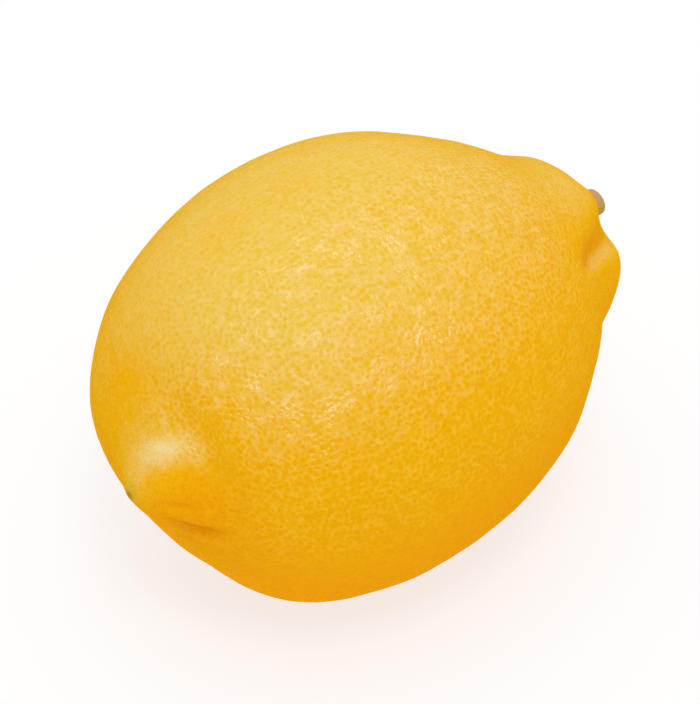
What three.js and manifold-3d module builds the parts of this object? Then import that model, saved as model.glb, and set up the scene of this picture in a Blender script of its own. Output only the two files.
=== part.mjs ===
// A lemon lying on its side: the fruit, its calyx button and the cut stub of its stalk.
//
// Millimetres, +Z up. +X runs from the nipple (blossom end) to the stem end, the fruit's long
// axis. The origin is at the middle of the bounding box's underside, so the small flat spot
// that the fruit rests on is in the plane Z = 0.
//
// The skin is one closed surface. Each point of it is given by two angles seen from the heart
// of the fruit, where it is widest: `polar`, measured from +X, and `around`, measured about X
// from the top (+Z) through the side at -Y. A point's distance from the heart is the sum of a
// smooth body, a few broad swells, the nipple with its folds, and the lobed neck.

import * as THREE from "three";
import { mergeVertices } from "three/addons/utils/BufferGeometryUtils.js";
import Module from "manifold-3d";

// ---- body ----------------------------------------------------------------------------------
const WIDEST_RADIUS = 32.0;        // girth radius, at the heart
const STEM_REACH = 43.3;           // heart to the stem end, before the neck is added
const NIPPLE_REACH = 36.42;        // heart to the blossom end, before the nipple is added
const STEM_FULLNESS = 1.78;        // 2 is an ellipse, less is more pointed
const NIPPLE_FULLNESS = 2.27;      // 2 is an ellipse, more is blunter
const FULLNESS_BLEND = 0.7;        // cosine of the polar angle at which the fullness is reached
const REACH_BLEND = 0.35;          // the two reaches are blended within this cosine of the girth

// Broad swells and hollows, measured in degrees from the blossom end and about the axis.
const SWELLS = [
  { height: 1.33, fromTip: 24, length: 16, around: -82, width: 48 },   // shoulder, far side
  { height: -0.84, fromTip: 33, length: 10, around: 169, width: 34 },  // hollow under the nipple
  { height: 0.91, fromTip: 56, length: 14, around: 163, width: 34 },   // belly behind the hollow
  { height: -0.18, fromTip: 34, length: 7, around: -80, width: 24 },   // ledge beside the nipple
  { height: -0.35, fromTip: 22, length: 7, around: -165, width: 22 },
  { height: -0.25, fromTip: 58, length: 9, around: -56, width: 28 },   // slow waves, far side
  { height: 0.10, fromTip: 80, length: 11, around: -48, width: 32 },
  { height: -0.25, fromTip: 133, length: 10, around: -25, width: 28 },
  { height: 0.29, fromTip: 74, length: 10, around: 132, width: 28 },   // slow waves, near side
  { height: -0.13, fromTip: 100, length: 14, around: 122, width: 32 },
  { height: 0.48, fromTip: 128, length: 10, around: 108, width: 28 },  // cheek before the neck
  { height: 0.12, fromTip: 147, length: 6, around: 98, width: 20 },
  { height: -0.40, fromTip: 159, length: 5, around: 101, width: 18 },  // nick under the near lobe
];
const SWELL_FADE = 8;              // the swells fade out within this angle of the pole

// ---- nipple --------------------------------------------------------------------------------
const NIPPLE_ARC = 39.0;           // arc radius that turns an angle at the heart into a distance
const NIPPLE_TILT = { angle: 1.3, around: 146 };                       // off the long axis
const NIPPLE_HEIGHT = 4.41;
const NIPPLE_RADIUS = 6.3;
const NIPPLE_POINT = 1.48;         // 2 is a rounded bell, 1 is a sharp cone
const NIPPLE_SPREAD = { share: 0.85, around: 76, width: 60 };          // longer on its near flank
const HOLLOW = { depth: 1.5, around: 52, spread: 50, radius: 14.1, width: 4.5 };

// ---- neck at the stem end ------------------------------------------------------------------
const NECK_ARC = 42.0;
const NECK_HEIGHT = 3.4;
const NECK_RADIUS = 11.2;          // flat-topped out to here, then it falls to the body
const NECK_SLOPE = 4.8;
const SOFT_SLOPE = { length: 3.8, around: 28, spread: 32 };            // it falls more slowly here
const LOBE_RING = 10.2;            // the lobes stand on this ring
const LOBE_WIDTH = 6.8;
const LOBES = [
  { height: 0.57, around: -26, width: 15 },
  { height: 0.26, around: 4, width: 13 },
  { height: 0.88, around: 29, width: 14 },
  { height: 0.75, around: 80, width: 24 },
  { height: 0.60, around: 130, width: 20 },
  { height: 1.00, around: 190, width: 24 },
  { height: 1.00, around: 235, width: 24 },
  { height: 0.80, around: 280, width: 14 },
];

// Folds run straight away from a tip. Each is `before` wide on the side of smaller angles and
// `after` wide on the other. It deepens from `start` to `full` and dies out from `hold` to `end`.
// `curl` turns it, in degrees for each millimetre.
const NIPPLE_FOLDS = [
  { depth: 1.00, around: 106, before: 0.7, after: 2.2, start: 4, full: 9, hold: 11, end: 17, curl: -0.9 },
  { depth: 0.22, around: 80, before: 0.5, after: 0.9, start: 4, full: 6, hold: 9, end: 12, curl: 0 },
];
const NECK_FOLDS = [
  { depth: 1.90, around: 57, before: 3.6, after: 1.6, start: 6, full: 14, hold: 16, end: 30, curl: 0 },
];

// ---- button, calyx and stalk ---------------------------------------------------------------
const BUTTON_TILT = 3.5;           // the stalk grew this far above the long axis, in degrees
const DIMPLE = { depth: 1.5, width: 4.6 };                             // the calyx sits in it
const CLEARANCE = 0.3;             // air between two pieces
const CALYX_RADIUS = 3.3;
const CALYX_LOBE = 0.5;            // how far each of its five lobes stands out
const CALYX_THICKNESS = 1.2;
const CALYX_EDGE = 0.7;
const STALK_RADIUS = 2.0;
const STALK_REACH = 50.3;          // heart to the cut end
const STALK_BEVEL = 0.5;

// ---- place and fineness --------------------------------------------------------------------
const AXIS_HEIGHT = 31.55;         // heart above the ground: the skin is flat 0.45 mm up from its lowest
const HEART_X = -4.739;            // puts the bounding box's middle at X = 0
const STEPS_AROUND = 84;
const STEPS_ALONG = 68;
const POLE_DENSITY = 0.55;         // 0 is even spacing, more draws the rings to both ends

const radians = THREE.MathUtils.degToRad;
const clamp = THREE.MathUtils.clamp;
const bell = (x, centre, width) => Math.exp(-(((x - centre) / width) ** 2));
const turn = (angle) => THREE.MathUtils.euclideanModulo(angle + 180, 360) - 180;
const bellAround = (around, centre, width) => bell(turn(around - centre), 0, width);
const ease = (from, to, x) => {
  const t = clamp((x - from) / (to - from), 0, 1);
  return t * t * (3 - 2 * t);
};

function bodyRadius(polar) {
  const cosine = Math.cos(radians(polar));
  const sine = Math.sin(radians(polar));
  const reach = NIPPLE_REACH + (STEM_REACH - NIPPLE_REACH) * ease(-REACH_BLEND, REACH_BLEND, cosine);
  const fullness = cosine >= 0 ? STEM_FULLNESS : NIPPLE_FULLNESS;
  const power = 2 + (fullness - 2) * ease(0, FULLNESS_BLEND, Math.abs(cosine));
  const sum = Math.abs(cosine / reach) ** power + Math.abs(sine / WIDEST_RADIUS) ** power;
  return sum ** (-1 / power);
}

function swellHeight(fromTip, around) {
  const fade = 1 - bell(fromTip, 0, SWELL_FADE);
  const sum = SWELLS.reduce((total, swell) => total + swell.height
    * bell(fromTip, swell.fromTip, swell.length) * bellAround(around, swell.around, swell.width), 0);
  return fade * sum;
}

function foldDepth(fold, distance, around, arc) {
  const line = fold.around + fold.curl * (distance - fold.full);
  const aside = arc * Math.sin(distance / arc) * radians(turn(around - line));
  const along = ease(fold.start, fold.full, distance) * (1 - ease(fold.hold, fold.end, distance));
  return fold.depth * bell(aside, 0, aside < 0 ? fold.before : fold.after) * along;
}

// The nipple's own tip direction, with the directions up and across as seen along it.
function nippleFrame() {
  const side = Math.sin(radians(NIPPLE_TILT.angle));
  const tip = new THREE.Vector3(
    -Math.cos(radians(NIPPLE_TILT.angle)),
    -side * Math.sin(radians(NIPPLE_TILT.around)),
    side * Math.cos(radians(NIPPLE_TILT.around)),
  );
  const up = new THREE.Vector3(0, 0, 1).addScaledVector(tip, -tip.z).normalize();
  return { tip, up, across: up.clone().cross(tip) };
}

function nippleHeight(polar, around) {
  const { tip, up, across } = nippleFrame();
  const direction = pointAt(polar, around, 1);
  const distance = Math.acos(clamp(direction.dot(tip), -1, 1)) * NIPPLE_ARC;
  const about = THREE.MathUtils.radToDeg(Math.atan2(direction.dot(across), direction.dot(up)));
  const lean = bellAround(about, NIPPLE_SPREAD.around, NIPPLE_SPREAD.width);
  const radius = NIPPLE_RADIUS * (1 + NIPPLE_SPREAD.share * lean);
  const cone = NIPPLE_HEIGHT * Math.exp(-((distance / radius) ** NIPPLE_POINT));
  const hollow = HOLLOW.depth * bellAround(about, HOLLOW.around, HOLLOW.spread)
    * bell(distance, HOLLOW.radius, HOLLOW.width);
  const folds = NIPPLE_FOLDS.reduce((total, fold) => total
    + foldDepth(fold, distance, about, NIPPLE_ARC), 0);
  return cone - hollow - folds;
}

function neckHeight(polar, around) {
  const distance = radians(polar) * NECK_ARC;
  const soft = SOFT_SLOPE.length * bellAround(around, SOFT_SLOPE.around, SOFT_SLOPE.spread);
  const neck = NECK_HEIGHT * bell(Math.max(0, distance - NECK_RADIUS), 0, NECK_SLOPE + soft);
  const lobes = LOBES.reduce((total, lobe) => total
    + lobe.height * bellAround(around, lobe.around, lobe.width), 0);
  const folds = NECK_FOLDS.reduce((total, fold) => total
    + foldDepth(fold, distance, around, NECK_ARC), 0);
  return neck + lobes * bell(distance, LOBE_RING, LOBE_WIDTH) - folds;
}

function dimpleDepth(polar, around) {
  const tilt = radians(BUTTON_TILT);
  const towards = Math.cos(radians(polar)) * Math.cos(tilt)
    + Math.sin(radians(polar)) * Math.cos(radians(around)) * Math.sin(tilt);
  return DIMPLE.depth * bell(Math.acos(clamp(towards, -1, 1)) * NECK_ARC, 0, DIMPLE.width);
}

function skinRadius(polar, around) {
  const fromTip = 180 - polar;
  return bodyRadius(polar) + swellHeight(fromTip, around) + nippleHeight(polar, around)
    + neckHeight(polar, around) - dimpleDepth(polar, around);
}

function pointAt(polar, around, radius) {
  const off = radius * Math.sin(radians(polar));
  return new THREE.Vector3(
    radius * Math.cos(radians(polar)),
    -off * Math.sin(radians(around)),
    off * Math.cos(radians(around)),
  );
}

// Moves every vertex of a closed geometry, then welds its seam so that it is one shell.
function reshaped(geometry, place) {
  geometry.deleteAttribute("normal");
  geometry.deleteAttribute("uv");
  const welded = mergeVertices(geometry, 1e-5);
  const position = welded.attributes.position;
  const vertex = new THREE.Vector3();
  for (let i = 0; i < position.count; i += 1) {
    vertex.fromBufferAttribute(position, i);
    const moved = place(vertex);
    position.setXYZ(i, moved.x, moved.y, moved.z);
  }
  return welded;
}

// The rings of an even sphere, drawn together near both ends where the skin is most shaped.
function gradedPolar(evenPolar) {
  const share = evenPolar / 180;
  return 180 * (share - (POLE_DENSITY / (2 * Math.PI)) * Math.sin(2 * Math.PI * share));
}

function makeSkin() {
  const sphere = new THREE.SphereGeometry(1, STEPS_AROUND, STEPS_ALONG);
  sphere.rotateZ(-Math.PI / 2);    // the sphere's poles go to +X and -X
  return reshaped(sphere, (v) => {
    const polar = gradedPolar(THREE.MathUtils.radToDeg(Math.acos(clamp(v.x, -1, 1))));
    const around = THREE.MathUtils.radToDeg(Math.atan2(-v.y, v.z));
    return pointAt(polar, around, skinRadius(polar, around));
  });
}

function toSolid(wasm, geometry) {
  const mesh = new wasm.Mesh({
    numProp: 3,
    vertProperties: Float32Array.from(geometry.attributes.position.array),
    triVerts: Uint32Array.from(geometry.index.array),
  });
  return new wasm.Manifold(mesh);
}

function toGeometry(solid) {
  const mesh = solid.getMesh();
  const geometry = new THREE.BufferGeometry();
  geometry.setAttribute("position", new THREE.BufferAttribute(mesh.vertProperties, 3));
  geometry.setIndex(new THREE.BufferAttribute(mesh.triVerts, 1));
  return geometry;
}

// The spot the fruit rests on is a true flat face, cut by the ground.
async function makeFruit() {
  const wasm = await Module();
  wasm.setup();
  const ground = new THREE.BoxGeometry(120, 120, 20);
  ground.translate(0, 0, -AXIS_HEIGHT - 10);
  const block = reshaped(ground, (v) => v);
  const skin = toSolid(wasm, makeSkin());
  return toGeometry(skin.subtract(toSolid(wasm, block)));
}

// The direction the stalk grows in, as a turn of +X about the Y axis.
function towardsButton(vector) {
  return vector.applyAxisAngle(new THREE.Vector3(0, 1, 0), -radians(BUTTON_TILT));
}

// A thin five-lobed disc that follows the floor of the dimple, clear of the skin.
function makeCalyx() {
  const profile = [
    new THREE.Vector2(0, 0),
    new THREE.Vector2(0.35, 0),
    new THREE.Vector2(0.7, 0),
    new THREE.Vector2(1, 0.1),
    new THREE.Vector2(1, CALYX_EDGE),
    new THREE.Vector2(0.7, CALYX_THICKNESS - 0.1),
    new THREE.Vector2(0.35, CALYX_THICKNESS),
    new THREE.Vector2(0, CALYX_THICKNESS),
  ];
  const disc = new THREE.LatheGeometry(profile, 40);
  return reshaped(disc, (v) => {
    const share = Math.hypot(v.x, v.z);
    const petal = Math.atan2(v.x, v.z);
    const reach = share * (CALYX_RADIUS + CALYX_LOBE * Math.cos(5 * petal) * share);
    const spread = reach / NECK_ARC;
    const direction = towardsButton(new THREE.Vector3(
      Math.cos(spread),
      -Math.sin(spread) * Math.sin(petal),
      Math.sin(spread) * Math.cos(petal),
    ));
    const polar = THREE.MathUtils.radToDeg(Math.acos(clamp(direction.x, -1, 1)));
    const around = THREE.MathUtils.radToDeg(Math.atan2(-direction.y, direction.z));
    return direction.multiplyScalar(skinRadius(polar, around) + CLEARANCE + v.y);
  });
}

// The stalk's stub stands on the calyx and is cut square, with a worn edge.
function makeStalk() {
  const foot = skinRadius(BUTTON_TILT, 0) + CALYX_THICKNESS + 3 * CLEARANCE;
  const profile = [
    new THREE.Vector2(0, foot),
    new THREE.Vector2(STALK_RADIUS + 0.3, foot),
    new THREE.Vector2(STALK_RADIUS, foot + 1.3),
    new THREE.Vector2(STALK_RADIUS + 0.1, STALK_REACH - STALK_BEVEL),
    new THREE.Vector2(STALK_RADIUS - STALK_BEVEL, STALK_REACH),
    new THREE.Vector2(0, STALK_REACH),
  ];
  const stub = new THREE.LatheGeometry(profile, 28);
  stub.rotateZ(-Math.PI / 2);      // the lathe's axis goes to +X
  return reshaped(stub, (v) => towardsButton(v.clone()));
}

function named(name, geometry, colour, roughness) {
  geometry.computeVertexNormals();
  const material = new THREE.MeshStandardMaterial({ color: colour, roughness, metalness: 0 });
  const mesh = new THREE.Mesh(geometry, material);
  mesh.name = name;
  return mesh;
}

const lemon = new THREE.Group();
lemon.add(
  named("fruit", await makeFruit(), 0xf0b428, 0.42),
  named("calyx", makeCalyx(), 0x8f9a3a, 0.7),
  named("stalk_stub", makeStalk(), 0xa88872, 0.8),
);
lemon.position.set(HEART_X, 0, AXIS_HEIGHT);

export default lemon;
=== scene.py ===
"""A ripe lemon lying on its side on a pale floor, in soft studio light.

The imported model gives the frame: metres, +X from the nipple to the stem end, +Z up, with the
flat spot that the fruit rests on in the plane Z = 0. The skin follows the same rule as the
solid in the frame. Oil glands are scattered over it by Geometry Nodes, joined into a net, and
pressed in as pits; the same pits are drawn in the peel's material.
"""

from __future__ import annotations

import logging
import math
from dataclasses import dataclass
from enum import Enum
from typing import Any

import bpy
import numpy as np
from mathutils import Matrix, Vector
from mathutils.geometry import delaunay_2d_cdt


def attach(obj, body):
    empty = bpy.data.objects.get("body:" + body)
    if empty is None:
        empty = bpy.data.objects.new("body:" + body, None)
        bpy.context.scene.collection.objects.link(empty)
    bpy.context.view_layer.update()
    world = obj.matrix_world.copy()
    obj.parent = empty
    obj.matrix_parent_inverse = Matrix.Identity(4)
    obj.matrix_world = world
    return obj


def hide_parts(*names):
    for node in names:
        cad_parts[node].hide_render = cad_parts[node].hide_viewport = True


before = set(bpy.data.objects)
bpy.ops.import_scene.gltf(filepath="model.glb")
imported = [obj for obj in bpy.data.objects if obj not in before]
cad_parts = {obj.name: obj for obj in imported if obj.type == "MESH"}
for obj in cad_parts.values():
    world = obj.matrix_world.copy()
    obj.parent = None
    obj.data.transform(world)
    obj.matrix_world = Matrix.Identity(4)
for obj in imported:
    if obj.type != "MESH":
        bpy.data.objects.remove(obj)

LOG = logging.getLogger("lemon")
BODY = "root"
MM = 0.001

Colour = tuple[float, float, float, float]
Point = tuple[float, float, float]
Creases = tuple[tuple[Point, Point, Point, float], ...]

WHITE = (1.0, 1.0, 1.0, 1.0)
MIDDLE = 0.5  # the mean of a noise, or of a mask made from one
WAVE_DETAIL = 1.5  # finer layers in the skin's slow waves
COARSE_GRAIN_SCALE = 0.2  # a coarse grain's fineness, as a share of the fine one's
TIP_GLAND_SHARE = 0.45  # how large glands are at the nipple's tip, as a share of their size
BUTTON_GLAND_SHARE = 0.0  # the same at the middle of the dimple
FACE_CORNERS = 4.0  # corners of each face of the split net
DELAUNAY_TOLERANCE = 1e-9


class Slot(Enum):
    """The record's material slots."""

    PEEL = "peel"
    CALYX = "calyx"
    STALK = "stalk"


class Mark(Enum):
    """Names of the mesh attributes that the materials read."""

    GLAND_CENTRE = "gland_centre"
    GLAND_SIZE = "gland_size"
    GLAND_TONE = "gland_tone"
    # Painted shade in the folds and the furrow.
    FOLD_SHADE = "fold"
    # Painted shade under the nipple's ridge.
    RIDGE_SHADE = "ridge_shade"
    # More painted shade below the nipple's ridge.
    BELOW_RIDGE_SHADE = "below_ridge_shade"
    # Where the painted sheen is stronger or weaker.
    BLOOM = "sheen_shift"
    # Painted highlight along the nipple's ridge.
    RIDGE_HIGHLIGHT = "ridge"
    RIM = "rim"
    CUT = "cut"


# ---- small maths ----------------------------------------------------------------------------


def bell(value: np.ndarray, centre: float, width: float) -> np.ndarray:
    """Returns a smooth hump of height 1 at the centre."""
    return np.exp(-(((value - centre) / width) ** 2))


def turn(angle: np.ndarray) -> np.ndarray:
    """Returns an angle in degrees brought to between -180 and 180."""
    return (angle + 180.0) % 360.0 - 180.0


def bell_around(around: np.ndarray, centre: float, width: float) -> np.ndarray:
    """Returns a smooth hump over an angle about the axis, in degrees."""
    return bell(turn(around - centre), 0.0, width)


def ease(low: float, high: float, value: np.ndarray) -> np.ndarray:
    """Returns 0 below low and 1 above high, with a smooth step between."""
    share = np.clip((value - low) / (high - low), 0.0, 1.0)
    return share * share * (3.0 - 2.0 * share)


def about_x(along: Any, off: Any, angle: Any) -> np.ndarray:
    """Returns points along X and off it, at an angle in radians from the top towards -Y."""
    return np.stack([along, -off * np.sin(angle), off * np.cos(angle)], axis=-1)


@dataclass(frozen=True)
class Band:
    """A smooth step that goes from `start` at `low` to `end` at `high`."""

    low: float
    high: float
    start: float = 0.0
    end: float = 1.0

    def of(self, value: np.ndarray) -> np.ndarray:
        """Returns the step's height at each value."""
        return self.start + (self.end - self.start) * ease(self.low, self.high, value)


# ---- the shape of the skin ------------------------------------------------------------------


@dataclass(frozen=True)
class Swell:
    """A broad swell or hollow: height in metres, places and widths in degrees."""

    height: float
    from_tip: float
    length: float
    around: float
    width: float


@dataclass(frozen=True)
class SheenShift:
    """A patch where the painted sheen is stronger or weaker: strength, then place and size in degrees.
    """

    strength: float
    from_tip: float
    around: float
    size: float


@dataclass(frozen=True)
class Lobe:
    """One lump on the rim of the neck: height in metres, place and width in degrees."""

    height: float
    around: float
    width: float


@dataclass(frozen=True)
class Fold:
    """A fold that runs out from a tip: lengths in metres, place in degrees.

    It lies between `start` and `end` from the tip. `before` and `after` are its half widths on
    the side of the smaller and the larger angle. `curl` turns it, in degrees for each metre.
    """

    depth: float
    around: float
    before: float
    after: float
    start: float
    full: float
    hold: float
    end: float
    curl: float = 0.0

    def cut(self, distance: np.ndarray, around: np.ndarray, arc: float) -> np.ndarray:
        """Returns how deep the fold is at each point.

        Args:
            distance: The distance from the tip along the skin.
            around: The angle about the tip, in degrees.
            arc: The radius that turns angles from the tip into distances.

        Returns:
            One depth for each point.
        """
        line = self.around + self.curl * (distance - self.full)
        aside = arc * np.sin(distance / arc) * np.radians(turn(around - line))
        width = np.where(aside < 0, self.before, self.after)
        along = ease(self.start, self.full, distance) * (1 - ease(self.hold, self.end, distance))
        return self.depth * along * np.exp(-((aside / width) ** 2))


@dataclass(frozen=True)
class Crease:
    """A sharp crease beside the nipple: three places by distance from the tip and degrees."""

    strength: float
    places: tuple[tuple[float, float], ...]


@dataclass(frozen=True)
class Skin:
    """The fruit's outer form: a distance from its heart for each direction.

    `polar` is the angle from +X and `around` the angle about X, from the top through the side
    at -Y, both in degrees. Lengths are in metres.
    """

    heart: Point = (-4.739 * MM, 0.0, 31.55 * MM)
    girth_radius: float = 32.0 * MM
    stem_reach: float = 43.3 * MM
    nipple_reach: float = 36.42 * MM
    stem_fullness: float = 1.78
    nipple_fullness: float = 2.27
    fullness_blend: float = 0.7
    reach_blend: float = 0.35
    swells: tuple[Swell, ...] = (
        Swell(height=1.33 * MM, from_tip=24, length=16, around=-82, width=48),
        Swell(height=-0.84 * MM, from_tip=33, length=10, around=169, width=34),
        Swell(height=0.91 * MM, from_tip=56, length=14, around=163, width=34),
        Swell(height=-0.18 * MM, from_tip=34, length=7, around=-80, width=24),
        Swell(height=-0.35 * MM, from_tip=22, length=7, around=-165, width=22),
        Swell(height=-0.25 * MM, from_tip=58, length=9, around=-56, width=28),
        Swell(height=0.10 * MM, from_tip=80, length=11, around=-48, width=32),
        Swell(height=-0.25 * MM, from_tip=133, length=10, around=-25, width=28),
        Swell(height=0.29 * MM, from_tip=74, length=10, around=132, width=28),
        Swell(height=-0.13 * MM, from_tip=100, length=14, around=122, width=32),
        Swell(height=0.48 * MM, from_tip=128, length=10, around=108, width=28),
        Swell(height=0.12 * MM, from_tip=147, length=6, around=98, width=20),
        Swell(height=-0.40 * MM, from_tip=159, length=5, around=101, width=18),
    )
    swell_fade: float = 8.0
    nipple_arc: float = 39.0 * MM
    nipple_tilt: float = 1.3
    nipple_tilt_around: float = 146.0
    nipple_height: float = 4.41 * MM
    nipple_radius: float = 6.3 * MM
    nipple_point: float = 1.48
    nipple_spread: float = 0.85
    nipple_spread_around: float = 76.0
    nipple_spread_width: float = 60.0
    hollow_depth: float = 1.5 * MM
    hollow_around: float = 52.0
    hollow_spread: float = 50.0
    hollow_radius: float = 14.1 * MM
    hollow_width: float = 4.5 * MM
    nipple_folds: tuple[Fold, ...] = (
        Fold(
            depth=1.00 * MM,
            around=106,
            before=0.7 * MM,
            after=2.2 * MM,
            start=4 * MM,
            full=9 * MM,
            hold=11 * MM,
            end=17 * MM,
            curl=-0.9 / MM,
        ),
        Fold(
            depth=0.22 * MM,
            around=80,
            before=0.5 * MM,
            after=0.9 * MM,
            start=4 * MM,
            full=6 * MM,
            hold=9 * MM,
            end=12 * MM,
        ),
    )
    neck_arc: float = 42.0 * MM
    neck_height: float = 3.4 * MM
    neck_radius: float = 11.2 * MM
    neck_slope: float = 4.8 * MM
    soft_slope: float = 3.8 * MM
    soft_slope_around: float = 28.0
    soft_slope_spread: float = 32.0
    lobe_ring: float = 10.2 * MM
    lobe_width: float = 6.8 * MM
    lobes: tuple[Lobe, ...] = (
        Lobe(height=0.57 * MM, around=-26, width=15),
        Lobe(height=0.26 * MM, around=4, width=13),
        Lobe(height=0.88 * MM, around=29, width=14),
        Lobe(height=0.75 * MM, around=80, width=24),
        Lobe(height=0.60 * MM, around=130, width=20),
        Lobe(height=1.00 * MM, around=190, width=24),
        Lobe(height=1.00 * MM, around=235, width=24),
        Lobe(height=0.80 * MM, around=280, width=14),
    )
    neck_folds: tuple[Fold, ...] = (
        Fold(
            depth=1.9 * MM,
            around=57,
            before=3.6 * MM,
            after=1.6 * MM,
            start=6 * MM,
            full=14 * MM,
            hold=16 * MM,
            end=30 * MM,
        ),
    )
    button_tilt: float = 3.5
    dimple_depth: float = 1.5 * MM
    dimple_width: float = 4.6 * MM

    def body(self, polar: np.ndarray) -> np.ndarray:
        """Returns the smooth body's radius.

        Args:
            polar: The angle from +X, in degrees.

        Returns:
            One distance from the heart for each angle, in metres.
        """
        cosine = np.cos(np.radians(polar))
        sine = np.sin(np.radians(polar))
        blend = ease(-self.reach_blend, self.reach_blend, cosine)
        reach = self.nipple_reach + (self.stem_reach - self.nipple_reach) * blend
        fullness = np.where(cosine >= 0, self.stem_fullness, self.nipple_fullness)
        # A power of 2 gives an ellipse; a larger one bulges, a smaller one tapers.
        power = 2 + (fullness - 2) * ease(0, self.fullness_blend, np.abs(cosine))
        total = np.abs(cosine / reach) ** power + np.abs(sine / self.girth_radius) ** power
        return total ** (-1 / power)

    def swelling(self, from_tip: np.ndarray, around: np.ndarray) -> np.ndarray:
        """Returns the height of the broad swells and hollows.

        Args:
            from_tip: The angle from -X, in degrees.
            around: The angle about X, in degrees.

        Returns:
            One height for each point, in metres.
        """
        total = np.zeros_like(from_tip)
        for swell in self.swells:
            along = bell(from_tip, swell.from_tip, swell.length)
            total += swell.height * along * bell_around(around, swell.around, swell.width)
        return total * (1 - bell(from_tip, 0, self.swell_fade))

    def nipple_axis(self) -> np.ndarray:
        """Returns the direction from the heart to the nipple's tip.

        Returns:
            A unit vector.
        """
        tilt = math.radians(self.nipple_tilt)
        about = math.radians(self.nipple_tilt_around)
        return about_x(-math.cos(tilt), math.sin(tilt), about)

    def nipple_frame(self) -> tuple[np.ndarray, np.ndarray, np.ndarray]:
        """Returns the nipple's tip direction and the directions up and across seen along it.

        Returns:
            Three unit vectors.
        """
        axis = self.nipple_axis()
        top = np.array([0.0, 0.0, 1.0]) - axis * axis[2]
        top /= np.linalg.norm(top)
        return axis, top, np.cross(top, axis)

    def nipple_place(self, distance: float, around: float) -> Point:
        """Returns the point of the skin at a distance from the tip and an angle about it.

        Args:
            distance: The distance from the tip along the skin.
            around: The angle about the tip, in degrees.

        Returns:
            The point, in the frame.
        """
        axis, top, side = self.nipple_frame()
        spread, angle = distance / self.nipple_arc, math.radians(around)
        across = top * math.cos(angle) + side * math.sin(angle)
        direction = axis * math.cos(spread) + across * math.sin(spread)
        return tuple(self.points(direction[None, :])[0].tolist())

    def about_nipple(self, directions: np.ndarray) -> tuple[np.ndarray, np.ndarray]:
        """Returns the distance from the nipple's tip and the angle about it, in degrees.

        Args:
            directions: Unit vectors from the heart, one in each row.

        Returns:
            The distances in metres, and the angles.
        """
        axis, top, side = self.nipple_frame()
        distance = np.arccos(np.clip(directions @ axis, -1, 1)) * self.nipple_arc
        return distance, np.degrees(np.arctan2(directions @ side, directions @ top))

    def nipple(self, directions: np.ndarray) -> np.ndarray:
        """Returns the height of the nipple, with the hollow and the folds beside it.

        Args:
            directions: Unit vectors from the heart, one in each row.

        Returns:
            One height for each row, in metres.
        """
        distance, around = self.about_nipple(directions)
        lean = bell_around(around, self.nipple_spread_around, self.nipple_spread_width)
        radius = self.nipple_radius * (1 + self.nipple_spread * lean)
        total = self.nipple_height * np.exp(-((distance / radius) ** self.nipple_point))
        hollow = bell_around(around, self.hollow_around, self.hollow_spread)
        total -= self.hollow_depth * hollow * bell(distance, self.hollow_radius, self.hollow_width)
        for fold in self.nipple_folds:
            total -= fold.cut(distance, around, self.nipple_arc)
        return total

    def neck(self, polar: np.ndarray, around: np.ndarray) -> np.ndarray:
        """Returns the height of the neck, its lobes, its furrow and the button's dimple.

        Args:
            polar: The angle from +X, in degrees.
            around: The angle about X, in degrees.

        Returns:
            One height for each point, in metres.
        """
        distance = np.radians(polar) * self.neck_arc
        past_rim = np.maximum(0, distance - self.neck_radius)
        soft = bell_around(around, self.soft_slope_around, self.soft_slope_spread)
        total = self.neck_height * bell(past_rim, 0, self.neck_slope + self.soft_slope * soft)
        rim = bell(distance, self.lobe_ring, self.lobe_width)
        for lobe in self.lobes:
            total += lobe.height * rim * bell_around(around, lobe.around, lobe.width)
        for fold in self.neck_folds:
            total -= fold.cut(distance, around, self.neck_arc)
        tilt = math.radians(self.button_tilt)
        towards = np.cos(np.radians(polar)) * math.cos(tilt)
        towards += np.sin(np.radians(polar)) * np.cos(np.radians(around)) * math.sin(tilt)
        off_button = np.arccos(np.clip(towards, -1, 1)) * self.neck_arc
        return total - self.dimple_depth * bell(off_button, 0, self.dimple_width)

    def angles(self, directions: np.ndarray) -> tuple[np.ndarray, np.ndarray]:
        """Returns the angle from +X and the angle about X, in degrees."""
        polar = np.degrees(np.arccos(np.clip(directions[:, 0], -1, 1)))
        return polar, np.degrees(np.arctan2(-directions[:, 1], directions[:, 2]))

    def radius(self, directions: np.ndarray) -> np.ndarray:
        """Returns the distance from the heart to the skin.

        Args:
            directions: Unit vectors from the heart, one in each row.

        Returns:
            One distance for each row, in metres.
        """
        polar, around = self.angles(directions)
        shape = self.body(polar) + self.swelling(180 - polar, around)
        return shape + self.nipple(directions) + self.neck(polar, around)

    def points(self, directions: np.ndarray, proud: np.ndarray | float = 0.0) -> np.ndarray:
        """Returns points on or above the skin.

        Args:
            directions: Unit vectors from the heart, one in each row.
            proud: How far outside the skin each point stands.

        Returns:
            Points in the frame, one in each row.
        """
        reach = self.radius(directions) + proud
        return np.array(self.heart) + directions * reach[:, None]

    def towards_button(self, directions: np.ndarray) -> np.ndarray:
        """Returns directions about +X turned to lie about the stalk's own direction.

        Args:
            directions: Vectors, one in each row.

        Returns:
            The turned vectors.
        """
        tilt = math.radians(self.button_tilt)
        turned = directions.copy()
        turned[:, 0] = directions[:, 0] * math.cos(tilt) - directions[:, 2] * math.sin(tilt)
        turned[:, 2] = directions[:, 0] * math.sin(tilt) + directions[:, 2] * math.cos(tilt)
        return turned

    def stalk_axis(self) -> np.ndarray:
        """Returns the direction from the heart to the middle of the dimple."""
        return self.towards_button(np.array([[1.0, 0.0, 0.0]]))[0]


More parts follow.
